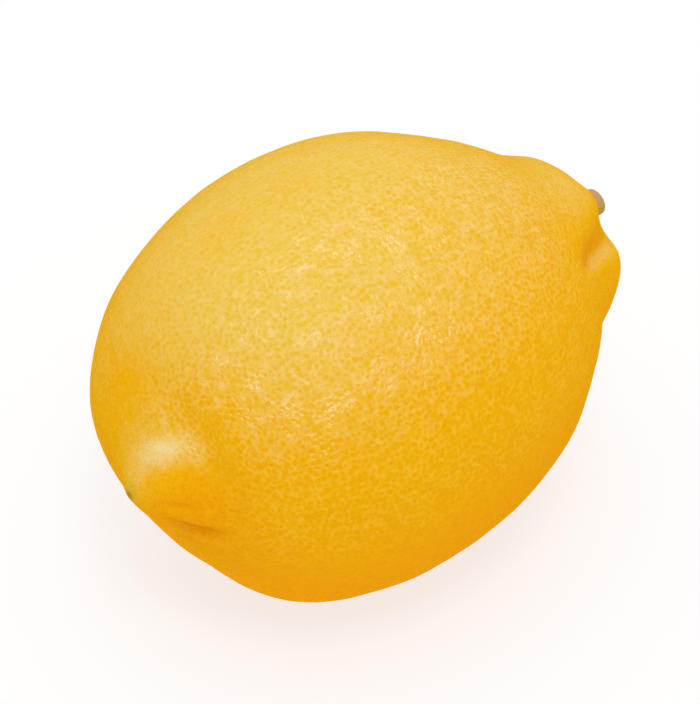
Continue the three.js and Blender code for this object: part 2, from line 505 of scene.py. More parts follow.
@dataclass(frozen=True)
class Ray:
    """A line that runs out from the nipple's tip: angles in degrees, lengths in millimetres.

    It lies at the angle `around` about the tip where it is `at` from it. It turns by `curl`
    degrees for each millimetre, from `back` before that place to `on` beyond it.
    """

    around: float
    at: float = 0.0
    curl: float = 0.0
    back: float = math.inf
    on: float = math.inf

    def aside(self, distance: np.ndarray, about: np.ndarray) -> np.ndarray:
        """Returns how far each point is turned from the line, in degrees about the tip."""
        past = np.clip(distance / MM - self.at, -self.back, self.on)
        return turn(about - (self.around + self.curl * past))


@dataclass(frozen=True)
class Fan:
    """A zone beside a line from the nipple's tip.

    `across` are the steps over the degrees from the line, `out` those over the distance from
    the tip.
    """

    line: Ray
    across: tuple[Band, ...]
    out: tuple[Band, ...]

    def cover(self, distance: np.ndarray, about: np.ndarray) -> np.ndarray:
        """Returns how far each point is inside the zone, from 0 to 1.

        Args:
            distance: The distance from the tip along the skin.
            about: The angle about the tip, in degrees.

        Returns:
            One number for each point.
        """
        aside = self.line.aside(distance, about)
        total = np.ones_like(distance)
        for band in self.across:
            total = total * band.of(aside)
        for band in self.out:
            total = total * band.of(distance)
        return total


@dataclass(frozen=True)
class PeelMap:
    """Where shade is painted in the folds, under the nipple's ridge and below it, and where the painted
    sheen and the ridge's painted highlight lie.

    Each method takes unit vectors from the heart, one in each row, and returns a number for each.
    """

    skin: Skin
    full_fold: float = 0.8 * MM
    neck_fold_share: float = 0.5
    # Where shade is painted under the nipple's ridge.
    ridge_shade_zone: Fan = Fan(
        line=Ray(30.0, at=5.0, curl=2.6, back=1.0, on=8.0),
        across=(Band(-9.0, 9.0), Band(55.0, 90.0, 1.0, 0.0)),
        out=(Band(2.5 * MM, 6.0 * MM), Band(10.0 * MM, 25.0 * MM, 1.0, 0.0)),
    )
    # Where more shade is painted below the nipple's ridge.
    below_ridge_shade_zone: Fan = Fan(
        line=Ray(34.0),
        across=(Band(4.0, 48.0), Band(85.0, 125.0, 1.0, 0.0)),
        out=(Band(2.0 * MM, 5.0 * MM), Band(10.0 * MM, 26.0 * MM, 1.0, 0.0)),
    )
    # Where the highlight is painted along the nipple's ridge.
    ridge_line: Ray = Ray(18.5, at=9.0, curl=3.5)
    ridge_middle: float = 9.2 * MM
    ridge_length: float = 3.4 * MM
    ridge_width: float = 2.0 * MM
    # Patches of stronger or weaker painted sheen: a painted highlight where above 0, painted shade
    # below.
    sheen_shifts: tuple[SheenShift, ...] = (
        SheenShift(0.40, from_tip=58, around=15, size=11),
        SheenShift(-0.22, from_tip=61, around=-15, size=7),
        SheenShift(-0.15, from_tip=83, around=-14, size=7),
        SheenShift(-0.17, from_tip=100, around=20, size=10),
        SheenShift(-0.13, from_tip=98, around=38, size=8),
        SheenShift(-0.14, from_tip=73, around=43, size=7),
        SheenShift(-0.22, from_tip=33, around=31, size=7),
        SheenShift(-0.30, from_tip=21, around=-32, size=7),
        SheenShift(0.06, from_tip=125, around=63, size=11),
        SheenShift(0.20, from_tip=25, around=-64, size=5),
        SheenShift(-0.07, from_tip=79, around=62, size=10),
        SheenShift(-0.16, from_tip=32, around=36, size=5),
        SheenShift(-0.15, from_tip=47, around=55, size=6),
        SheenShift(-0.16, from_tip=62, around=51, size=5),
        SheenShift(-0.08, from_tip=112, around=42, size=6),
        SheenShift(0.08, from_tip=41, around=4, size=5),
        SheenShift(0.06, from_tip=70, around=6, size=8),
    )
    # Painted shade in the valley beside the nipple.
    valley_shade: float = 0.15
    valley_middle: float = 9.0 * MM
    valley_length: float = 4.0 * MM
    valley_around: float = -61.0
    valley_spread: float = 9.0

    def folds(self, directions: np.ndarray) -> np.ndarray:
        """Returns the depth of the folds and the furrow, from 0 to 1, which sets how much shade is
        painted in them.

        Args:
            directions: Unit vectors from the heart, one in each row.

        Returns:
            One number for each row.
        """
        skin = self.skin
        distance, about = skin.about_nipple(directions)
        depth = sum(fold.cut(distance, about, skin.nipple_arc) for fold in skin.nipple_folds)
        polar, around = skin.angles(directions)
        distance = np.radians(polar) * skin.neck_arc
        neck = sum(fold.cut(distance, around, skin.neck_arc) for fold in skin.neck_folds)
        return np.clip((depth + neck * self.neck_fold_share) / self.full_fold, 0, 1)

    def ridge_shade(self, directions: np.ndarray) -> np.ndarray:
        """Returns where shade is painted under the nipple's ridge, on the side turned from the light,
        from 0 to 1.
        """
        return self.ridge_shade_zone.cover(*self.skin.about_nipple(directions))

    def below_ridge_shade(self, directions: np.ndarray) -> np.ndarray:
        """Returns where more shade is painted, below the ridge's painted shade, from 0 to 1."""
        return self.below_ridge_shade_zone.cover(*self.skin.about_nipple(directions))

    def ridge(self, directions: np.ndarray) -> np.ndarray:
        """Returns where a highlight is painted along the nipple's ridge, from 0 to 1.

        Args:
            directions: Unit vectors from the heart, one in each row.

        Returns:
            One number for each row.
        """
        distance, about = self.skin.about_nipple(directions)
        arc = self.skin.nipple_arc
        off = arc * np.sin(distance / arc) * np.radians(self.ridge_line.aside(distance, about))
        along = bell(distance, self.ridge_middle, self.ridge_length)
        return along * bell(off, 0, self.ridge_width)

    def sheen_shift(self, directions: np.ndarray) -> np.ndarray:
        """Returns how much stronger the painted sheen lies than on an even fruit, less painted shade in
        the valley beside the nipple.

        Args:
            directions: Unit vectors from the heart, one in each row.

        Returns:
            One number for each row, which may be below 0.
        """
        total = np.zeros(len(directions))
        for patch in self.sheen_shifts:
            polar = math.radians(180 - patch.from_tip)
            middle = about_x(math.cos(polar), math.sin(polar), math.radians(patch.around))
            off = np.degrees(np.arccos(np.clip(directions @ middle, -1, 1)))
            total += patch.strength * bell(off, 0, patch.size)
        distance, about = self.skin.about_nipple(directions)
        valley = bell(distance, self.valley_middle, self.valley_length)
        valley *= bell_around(about, self.valley_around, self.valley_spread)
        return total - self.valley_shade * valley

    def masks(self, directions: np.ndarray) -> dict[Mark, np.ndarray]:
        """Returns every number of the map, under the mark that the material reads it by.

        Args:
            directions: Unit vectors from the heart, one in each row.

        Returns:
            One array for each mark.
        """
        return {
            Mark.FOLD_SHADE: self.folds(directions),
            Mark.RIDGE_SHADE: self.ridge_shade(directions),
            Mark.BELOW_RIDGE_SHADE: self.below_ridge_shade(directions),
            Mark.BLOOM: self.sheen_shift(directions),
            Mark.RIDGE_HIGHLIGHT: self.ridge(directions),
        }


# ---- meshes ---------------------------------------------------------------------------------


def add_object(name: str, data: bpy.types.ID) -> bpy.types.Object:
    """Returns a new object in the scene's own collection.

    Args:
        name: The object's name.
        data: What the object holds.

    Returns:
        The new object.
    """
    made = bpy.data.objects.new(name, data)
    bpy.context.scene.collection.objects.link(made)
    return made


def mesh_object(name: str, points: np.ndarray, faces: list[tuple[int, ...]]) -> bpy.types.Object:
    """Returns a smooth-shaded object made of points and faces.

    Args:
        name: The object's name.
        points: The vertices, one in each row.
        faces: The corners of each face, counter-clockwise seen from outside.

    Returns:
        The new object.
    """
    mesh = bpy.data.meshes.new(name)
    mesh.from_pydata(points.tolist(), [], faces)
    mesh.shade_smooth()
    mesh.validate()
    return add_object(name, mesh)


def replace_mesh(piece: bpy.types.Object, mesh: bpy.types.Mesh) -> None:
    """Gives an object another mesh and removes the one it had.

    Args:
        piece: The object.
        mesh: The mesh it is to wear.
    """
    spare = piece.data
    piece.data = mesh
    bpy.data.meshes.remove(spare)


def mark_points(piece: bpy.types.Object, mark: Mark, values: np.ndarray) -> None:
    """Stores one number for each vertex, for a material to read."""
    layer = piece.data.attributes.new(mark.value, "FLOAT", "POINT")
    layer.data.foreach_set("value", values.astype(np.float32))


def ring_faces(rings: int, around: int) -> list[tuple[int, ...]]:
    """Returns the faces of a closed tube of rings with a single vertex at each end.

    They are counter-clockwise seen from outside where the rings run towards +X, and have to be
    turned where they run the other way.

    Args:
        rings: The number of full rings.
        around: The number of vertices in a ring.

    Returns:
        Faces over vertices numbered first end, rings in order, last end.
    """
    faces: list[tuple[int, ...]] = []
    last = 1 + rings * around
    for step in range(around):
        beside = (step + 1) % around
        faces.append((0, 1 + beside, 1 + step))
        for ring in range(rings - 1):
            low = 1 + ring * around
            high = low + around
            faces.append((low + step, low + beside, high + beside, high + step))
        low = 1 + (rings - 1) * around
        faces.append((low + step, low + beside, last))
    return faces


def rings_of_directions(polar: np.ndarray, around: int) -> np.ndarray:
    """Returns unit vectors on rings about +X, with one vector at each end.

    Args:
        polar: The angle of each ring from +X, in degrees.
        around: The number of vectors in a ring.

    Returns:
        Unit vectors, one in each row, numbered as ring_faces numbers them.
    """
    angle = np.radians(np.repeat(polar, around))
    about = np.tile(np.arange(around) * 2 * np.pi / around, len(polar))
    rings = about_x(np.cos(angle), np.sin(angle), about)
    return np.vstack([[1.0, 0.0, 0.0], rings, [-1.0, 0.0, 0.0]])


def net_over_sphere(directions: np.ndarray) -> list[tuple[int, int, int]]:
    """Joins points on a sphere into one closed net of triangles, each as even as can be.

    The sphere is laid flat from its +X pole, which keeps circles round, so the flat net is the
    sphere's own. The gap that is left about the pole is closed with a fan.

    Args:
        directions: Unit vectors, one in each row.

    Returns:
        The corners of each triangle, counter-clockwise seen from outside.
    """
    flat = directions[:, 1:] / (1 - directions[:, :1])
    points = [Vector(point) for point in flat.tolist()]
    _, _, faces, origins, _, _ = delaunay_2d_cdt(points, [], [], 0, DELAUNAY_TOLERANCE)
    net = [tuple(origins[corner][0] for corner in face) for face in faces]
    after: dict[int, int] = {}
    sides = {(face[i], face[(i + 1) % 3]) for face in net for i in range(3)}
    for start, end in sides:
        if (end, start) not in sides:
            after[end] = start
    first = next(iter(after))
    second, third = after[first], after[after[first]]
    while third != first:
        net.append((first, second, third))
        second, third = third, after[third]
    corners = directions[np.array(net)]
    outward = np.cross(corners[:, 1] - corners[:, 0], corners[:, 2] - corners[:, 0])
    inside_out = np.einsum("ij,ij->i", outward, corners.sum(axis=1)) < 0
    return [face[::-1] if flip else face for face, flip in zip(net, inside_out)]


# ---- node graphs ----------------------------------------------------------------------------


def find_socket(sockets: Any, key: str) -> bpy.types.NodeSocket:
    """Returns the socket with this identifier, or else with this name.

    Args:
        sockets: A node's inputs or outputs.
        key: The socket's identifier or name.

    Returns:
        The socket.
    """
    for socket in sockets:
        if socket.identifier == key:
            return socket
    return sockets[key]


class Graph:
    """Adds and joins the nodes of one tree."""

    def __init__(self, tree: bpy.types.NodeTree) -> None:
        """Starts on a tree that may already hold nodes."""
        self.tree = tree

    def add(self, kind: str, inputs: dict[str, Any] | None = None, **settings: Any) -> bpy.types.Node:
        """Adds one node.

        Args:
            kind: The node's type.
            inputs: For each input's identifier or name, a plain value or a socket to join it to.
            **settings: The node's own options.

        Returns:
            The new node.
        """
        node = self.tree.nodes.new(kind)
        for name, value in settings.items():
            setattr(node, name, value)
        for key, value in (inputs or {}).items():
            socket = find_socket(node.inputs, key)
            if isinstance(value, bpy.types.NodeSocket):
                self.tree.links.new(value, socket)
            else:
                socket.default_value = value
        return node

    def math(self, operation: str, first: Any, second: Any = 0.0) -> bpy.types.NodeSocket:
        """Returns the result of a sum on two numbers."""
        values = {"Value": first, "Value_001": second}
        return self.add("ShaderNodeMath", values, operation=operation).outputs[0]

    def times(self, *factors: Any) -> Any:
        """Returns the product of several numbers.

        Args:
            *factors: Plain values or sockets.

        Returns:
            A number socket.
        """
        product = factors[0]
        for factor in factors[1:]:
            product = self.math("MULTIPLY", product, factor)
        return product

    def rest(self, share: Any) -> bpy.types.NodeSocket:
        """Returns what a share leaves of 1."""
        return self.math("SUBTRACT", 1.0, share)

    def vector(self, operation: str, first: Any, second: Any = (0.0, 0.0, 0.0)) -> bpy.types.Node:
        """Returns a node that works on two vectors."""
        values = {"Vector": first, "Vector_001": second}
        return self.add("ShaderNodeVectorMath", values, operation=operation)

    def distance(self, first: Any, second: Any) -> bpy.types.NodeSocket:
        """Returns the distance between two points."""
        return self.vector("DISTANCE", first, second).outputs["Value"]

    def dot(self, first: Any, second: Any) -> bpy.types.NodeSocket:
        """Returns the dot product of two vectors."""
        return self.vector("DOT_PRODUCT", first, second).outputs["Value"]

    def scaled(self, vector: Any, factor: Any) -> bpy.types.NodeSocket:
        """Returns a vector times a number."""
        values = {"Vector": vector, "Scale": factor}
        return self.add("ShaderNodeVectorMath", values, operation="SCALE").outputs[0]

    def between(self, value: Any, low: Any, high: Any, start: Any = 0.0, end: Any = 1.0) -> Any:
        """Returns a number that goes smoothly from start at low to end at high."""
        values = {"Value": value, "From Min": low, "From Max": high, "To Min": start, "To Max": end}
        return self.add("ShaderNodeMapRange", values, interpolation_type="SMOOTHSTEP").outputs[0]

    def step(self, value: Any, band: Band) -> Any:
        """Returns a number that goes smoothly over a band."""
        return self.between(value, band.low, band.high, band.start, band.end)

    def mix(self, factor: Any, first: Any, second: Any, blend: str = "MIX") -> bpy.types.NodeSocket:
        """Returns one colour laid over another.

        Args:
            factor: How much of the second shows.
            first: The colour below.
            second: The colour on top.
            blend: How they are laid over each other.

        Returns:
            A colour socket.
        """
        values = {"Factor_Float": factor, "A_Color": first, "B_Color": second}
        node = self.add("ShaderNodeMix", values, data_type="RGBA", blend_type=blend)
        return find_socket(node.outputs, "Result_Color")

    def noise(self, place: Any, fineness: Any, detail: float = 1.0, **inputs: float) -> bpy.types.Node:
        """Returns a noise node.

        Args:
            place: The point that is read.
            fineness: How many waves fit in a metre.
            detail: How many finer layers are added.
            **inputs: The node's other inputs, by name.

        Returns:
            The node, whose first output is the noise as a number.
        """
        values = {"Vector": place, "Scale": fineness, "Detail": detail, **inputs}
        return self.add("ShaderNodeTexNoise", values)

    def mark(self, mark: Mark, output: str = "Fac") -> bpy.types.NodeSocket:
        """Returns what a mesh attribute holds, for a material."""
        return self.add("ShaderNodeAttribute", attribute_name=mark.value).outputs[output]

    def bump(self, height: Any, distance: float, normal: Any = None, **settings: Any) -> Any:
        """Returns the normal of a bumped surface.

        Args:
            height: The mask that is raised.
            distance: How far a mask of 1 stands out.
            normal: The normal that the bump is laid on, or none for the surface's own.
            **settings: The node's own options.

        Returns:
            A normal socket.
        """
        values = {"Strength": 1.0, "Distance": distance, "Height": height}
        if normal is not None:
            values["Normal"] = normal
        return self.add("ShaderNodeBump", values, **settings).outputs[0]

    def store(self, geometry: Any, name: str, value: Any, kind: str, domain: str) -> Any:
        """Returns geometry that carries a value as a named attribute.

        Args:
            geometry: The geometry.
            name: The attribute's name.
            value: What is stored.
            kind: Its data type.
            domain: POINT or FACE.

        Returns:
            The geometry, with the attribute.
        """
        values = {"Geometry": geometry, "Name": name, "Value": value}
        options = {"data_type": kind, "domain": domain}
        return self.add("GeometryNodeStoreNamedAttribute", values, **options).outputs[0]

    def read(self, name: str, kind: str) -> bpy.types.NodeSocket:
        """Returns a named attribute, for a Geometry Nodes tree."""
        node = self.add("GeometryNodeInputNamedAttribute", {"Name": name}, data_type=kind)
        return node.outputs["Attribute"]

    def moved(self, geometry: Any, **inputs: Any) -> bpy.types.NodeSocket:
        """Returns geometry whose points are moved by an Offset or to a Position."""
        return self.add("GeometryNodeSetPosition", {"Geometry": geometry, **inputs}).outputs[0]


def new_tree(name: str, kind: str, sockets: dict[str, str], output: tuple[str, str]) -> Graph:
    """Starts a node group with named inputs and one output.

    Args:
        name: The group's name.
        kind: GeometryNodeTree or ShaderNodeTree.
        sockets: Each input's name and kind of socket, such as Float, in order.
        output: The output's name and kind of socket.

    Returns:
        The group's graph.
    """
    tree = bpy.data.node_groups.new(name, kind)
    for label, socket in sockets.items():
        tree.interface.new_socket(label, in_out="INPUT", socket_type=f"NodeSocket{socket}")
    tree.interface.new_socket(output[0], in_out="OUTPUT", socket_type=f"NodeSocket{output[1]}")
    return Graph(tree)


def socket_kind(value: Any) -> str:
    """Returns the kind of socket that holds a value.

    Args:
        value: A material, a vector as a tuple, a whole number or another number.

    Returns:
        The kind, as new_tree takes it.
    """
    if isinstance(value, bpy.types.Material):
        return "Material"
    if isinstance(value, tuple):
        return "Vector"
    return "Int" if isinstance(value, int) else "Float"


def geometry_tree(name: str, values: dict[str, Any]) -> Graph:
    """Starts a tree that takes geometry, and has one more input for each of these values."""
    sockets = {"Geometry": "Geometry", **{label: socket_kind(values[label]) for label in values}}
    return new_tree(name, "GeometryNodeTree", sockets, ("Geometry", "Geometry"))


def run_tree(piece: bpy.types.Object, tree: bpy.types.NodeTree, values: dict[str, Any]) -> None:
    """Runs a Geometry Nodes tree on a piece and keeps the result as its plain mesh.

    Args:
        piece: The object whose mesh goes in.
        tree: The tree, whose first input is the geometry.
        values: The tree's other inputs, by name.
    """
    modifier = piece.modifiers.new(tree.name, "NODES")
    modifier.node_group = tree
    identifiers = {
        item.name: item.identifier
        for item in tree.interface.items_tree
        if item.item_type == "SOCKET" and item.in_out == "INPUT"
    }
    for name, value in values.items():
        modifier[identifiers[name]] = value
    graph = bpy.context.evaluated_depsgraph_get()
    result = bpy.data.meshes.new_from_object(piece.evaluated_get(graph))
    piece.modifiers.remove(modifier)
    replace_mesh(piece, result)
    result.name = piece.name


def end_tree(graph: Graph, geometry: bpy.types.NodeSocket, material: bpy.types.NodeSocket) -> None:
    """Ends a Geometry Nodes tree in real geometry that wears a material.

    Args:
        graph: The tree's graph.
        geometry: The geometry to end in.
        material: The material it wears.
    """
    real = graph.add("GeometryNodeRealizeInstances", {"Geometry": geometry})
    dressed = graph.add(
        "GeometryNodeSetMaterial", {"Geometry": real.outputs[0], "Material": material}
    )
    graph.add("NodeGroupOutput", {"Geometry": dressed.outputs[0]})


def gland_scatter_tree(values: dict[str, Any]) -> bpy.types.NodeTree:
    """Returns the tree that scatters one vertex for each oil gland, no two too close.

    They stand closer together round the nipple, where the peel is finer.

    Args:
        values: What its inputs will be given.

    Returns:
        The tree, which puts out bare vertices.
    """
    graph = geometry_tree("gland_scatter", values)
    inputs = graph.add("NodeGroupInput").outputs
    place = graph.add("GeometryNodeInputPosition").outputs[0]
    from_tip = graph.distance(place, inputs["Tip"])
    both = graph.add("GeometryNodeJoinGeometry")
    for comparison, spacing in (("GREATER_THAN", "Spacing"), ("LESS_THAN", "Tip Spacing")):
        zone = graph.math(comparison, from_tip, inputs["Tip Zone"])
        points = graph.add(
            "GeometryNodeDistributePointsOnFaces",
            {
                "Mesh": inputs["Geometry"],
                "Selection": zone,
                "Distance Min": inputs[spacing],
                "Density Max": inputs["Density"],
                "Seed": inputs["Seed"],
            },
            distribute_method="POISSON",
        )
        graph.tree.links.new(points.outputs["Points"], both.inputs[0])
    vertices = graph.add("GeometryNodePointsToVertices", {"Points": both.outputs[0]})
    end_tree(graph, vertices.outputs[0], inputs["Material"])
    return graph.tree


def drawn_number(graph: Graph, least: Any, most: Any, seed: Any) -> bpy.types.NodeSocket:
    """Returns a number drawn by chance for each point.

    Args:
        graph: The tree's graph.
        least: The least it can be.
        most: The most it can be.
        seed: What sets the draw.

    Returns:
        A number socket.
    """
    values = {"Min_001": least, "Max_001": most, "Seed": seed}
    drawn = graph.add("FunctionNodeRandomValue", values, data_type="FLOAT")
    return find_socket(drawn.outputs, "Value_001")


def gland_sizes(graph: Graph, inputs: Any, place: bpy.types.NodeSocket) -> bpy.types.NodeSocket:
    """Returns each gland's reach, which is smaller by the nipple's tip and by the button.

    Args:
        graph: The tree's graph.
        inputs: The tree's inputs.
        place: Where each gland is.

    Returns:
        A number socket, in metres.
    """
    size = drawn_number(graph, inputs["Smallest"], inputs["Largest"], inputs["Seed"])
    for spot, least in (("Tip", TIP_GLAND_SHARE), ("Button", BUTTON_GLAND_SHARE)):
        off = graph.distance(place, inputs[spot])
        share = graph.between(off, inputs[f"{spot} Bare"], inputs[f"{spot} Full"], least, 1.0)
        size = graph.math("MULTIPLY", size, share)
    return size


def gland_relief_tree(values: dict[str, Any]) -> bpy.types.NodeTree:
    """Returns the tree that turns the gland net into pitted peel.

    Each vertex of the net is a gland. The net is split once, so that each face then has one
    gland at one corner, and the face remembers where that gland is and how large. The skin gets
    slow waves, the glands are pressed in, and what would go below the ground is levelled.

    Args:
        values: What its inputs will be given.

    Returns:
        The tree, which puts out the finished mesh.
    """
    graph = geometry_tree("gland_relief", values)
    inputs = graph.add("NodeGroupInput").outputs
    place = graph.add("GeometryNodeInputPosition").outputs[0]
    normal = graph.add("GeometryNodeInputNormal").outputs[0]

    noise = graph.noise(place, inputs["Waves per Metre"], WAVE_DETAIL).outputs[0]
    wave = graph.times(graph.math("SUBTRACT", noise, MIDDLE), inputs["Wave Height"])
    waved = graph.moved(inputs["Geometry"], Offset=graph.scaled(normal, wave))

    tone_seed = graph.math("ADD", inputs["Seed"], 1.0)
    glands = (
        ("seat", Mark.GLAND_CENTRE, "FLOAT_VECTOR", place),
        ("reach", Mark.GLAND_SIZE, "FLOAT", gland_sizes(graph, inputs, place)),
        ("shade", Mark.GLAND_TONE, "FLOAT", drawn_number(graph, 0.0, 1.0, tone_seed)),
    )
    net = waved
    for name, _, kind, value in glands:
        net = graph.store(net, name, value, kind, "POINT")

    count = graph.add("GeometryNodeAttributeDomainSize", {"Geometry": net}, component="MESH")
    split = graph.add("GeometryNodeSubdivideMesh", {"Mesh": net, "Level": 1}).outputs[0]
    index = graph.add("GeometryNodeInputIndex").outputs[0]
    is_gland = graph.add(
        "FunctionNodeCompare",
        {"A_INT": index, "B_INT": count.outputs["Point Count"]},
        data_type="INT",
        operation="LESS_THAN",
    ).outputs[0]
    for name, mark, kind, _ in glands:
        # A face takes the mean of its corners, and only one of them is a gland.
        if kind == "FLOAT_VECTOR":
            value = graph.scaled(graph.scaled(graph.read(name, kind), is_gland), FACE_CORNERS)
        else:
            value = graph.times(graph.read(name, kind), is_gland, FACE_CORNERS)
        on_points = graph.add(
            "GeometryNodeFieldOnDomain", {"Value": value}, data_type=kind, domain="POINT"
        )
        split = graph.store(split, mark.value, on_points.outputs[0], kind, "FACE")

    share = graph.math("DIVIDE", graph.read("reach", "FLOAT"), inputs["Largest"])
    press = graph.scaled(normal, graph.times(share, inputs["Depth"], -1.0))
    pressed = graph.moved(split, Selection=is_gland, Offset=press)
    level = graph.vector("MAXIMUM", place, (-1.0, -1.0, 0.0)).outputs[0]
    resting = graph.moved(pressed, Position=level)
    for name, *_ in glands:
        spare = {"Geometry": resting, "Name": name}
        resting = graph.add("GeometryNodeRemoveAttribute", spare).outputs[0]
    smooth = graph.add("GeometryNodeSetShadeSmooth", {"Geometry": resting}).outputs[0]
    end_tree(graph, smooth, inputs["Material"])
    return graph.tree


# ---- shared shader effects ------------------------------------------------------------------


def mottle_group() -> bpy.types.NodeTree:
    """Returns the group that gives soft uneven patches, as a mask.

    Returns:
        The group, whose output is from 0 to 1.
    """
    graph = new_tree(
        "mottle",
        "ShaderNodeTree",
        {"Vector": "Vector", "Patches per Metre": "Float", "Low": "Float", "High": "Float"},
        ("Mask", "Float"),
    )
    inputs = graph.add("NodeGroupInput").outputs
    soft = {"Roughness": 0.55, "Distortion": 0.4}
    noise = graph.noise(inputs["Vector"], inputs["Patches per Metre"], 3.0, **soft)
    mask = graph.between(noise.outputs[0], inputs["Low"], inputs["High"])
    graph.add("NodeGroupOutput", {"Mask": mask})
    return graph.tree


def grain_group() -> bpy.types.NodeTree:
    """Returns the group that gives a fine uneven surface, as a height for a bump.

    Returns:
        The group.
    """
    graph = new_tree(
        "grain",
        "ShaderNodeTree",
        {"Vector": "Vector", "Grains per Metre": "Float", "Coarse Share": "Float"},
        ("Height", "Float"),
    )
    inputs = graph.add("NodeGroupInput").outputs
    fine = graph.noise(inputs["Vector"], inputs["Grains per Metre"], 2.0)
    coarse_scale = graph.math("MULTIPLY", inputs["Grains per Metre"], COARSE_GRAIN_SCALE)
    coarse = graph.noise(inputs["Vector"], coarse_scale)
    part = graph.math("MULTIPLY", coarse.outputs[0], inputs["Coarse Share"])
    graph.add("NodeGroupOutput", {"Height": graph.math("ADD", fine.outputs[0], part)})
    return graph.tree


def line_group() -> bpy.types.NodeTree:
    """Returns the group that gives the distance from a straight line between two points.

    Returns:
        The group, whose output is in metres.
    """
    graph = new_tree(
        "line_distance",
        "ShaderNodeTree",
        {"Vector": "Vector", "Start": "Vector", "End": "Vector"},
        ("Distance", "Float"),
    )
    inputs = graph.add("NodeGroupInput").outputs
    along = graph.vector("SUBTRACT", inputs["End"], inputs["Start"]).outputs[0]
    off = graph.vector("SUBTRACT", inputs["Vector"], inputs["Start"]).outputs[0]
    share = graph.math("DIVIDE", graph.dot(off, along), graph.dot(along, along))
    share = graph.math("MINIMUM", graph.math("MAXIMUM", share, 0.0), 1.0)
    distance = graph.distance(off, graph.scaled(along, share))
    graph.add("NodeGroupOutput", {"Distance": distance})
    return graph.tree


# ---- finishes -------------------------------------------------------------------------------


def start_material(name: str) -> tuple[bpy.types.Material, Graph, bpy.types.NodeSocket]:
    """Returns a new material, its empty graph and its Object coordinates.

    Args:
        name: The material's name.

    Returns:
        The material, its graph and the coordinates.
    """
    material = bpy.data.materials.new(name)
    material.use_nodes = True
    material.node_tree.nodes.clear()
    graph = Graph(material.node_tree)
    place = graph.add("ShaderNodeTexCoord").outputs["Object"]
    return material, graph, place


def end_material(graph: Graph, values: dict[str, Any]) -> None:
    """Ends a material in one plain surface with these inputs."""
    shader = graph.add("ShaderNodeBsdfPrincipled", values)
    graph.add("ShaderNodeOutputMaterial", {"Surface": shader.outputs[0]})


def use_group(graph: Graph, tree: bpy.types.NodeTree, values: dict[str, Any]) -> Any:
    """Places a shared group and returns its output.

    Args:
        graph: The material's graph.
        tree: The group.
        values: For each of its inputs, a plain value or a socket.

    Returns:
        The group's one output.
    """
    node = graph.add("ShaderNodeGroup", node_tree=tree)
    for name, value in values.items():
        if isinstance(value, bpy.types.NodeSocket):
            graph.tree.links.new(value, node.inputs[name])
        else:
            node.inputs[name].default_value = value
    return node.outputs[0]


@dataclass(frozen=True)
class SharedEffects:
    """The shader groups that more than one finish uses."""

    mottle: bpy.types.NodeTree
    grain: bpy.types.NodeTree
    line: bpy.types.NodeTree

    def patches(self, graph: Graph, place: Any, per_metre: float, band: Band) -> Any:
        """Returns the mask of soft patches: 0 where a noise is at the band's low, 1 at its high."""
        values = {"Vector": place, "Patches per Metre": per_metre, "Low": band.low, "High": band.high}
        return use_group(graph, self.mottle, values)

    def grains(self, graph: Graph, place: Any, per_metre: float, coarse: float) -> Any:
        """Returns the height of a fine grain, with a share of a coarser one."""
        values = {"Vector": place, "Grains per Metre": per_metre, "Coarse Share": coarse}
        return use_group(graph, self.grain, values)


@dataclass(frozen=True)
class Landmarks:
    """The places on the fruit that its material is laid out from."""

    tip: Point
    button: Point
    creases: Creases


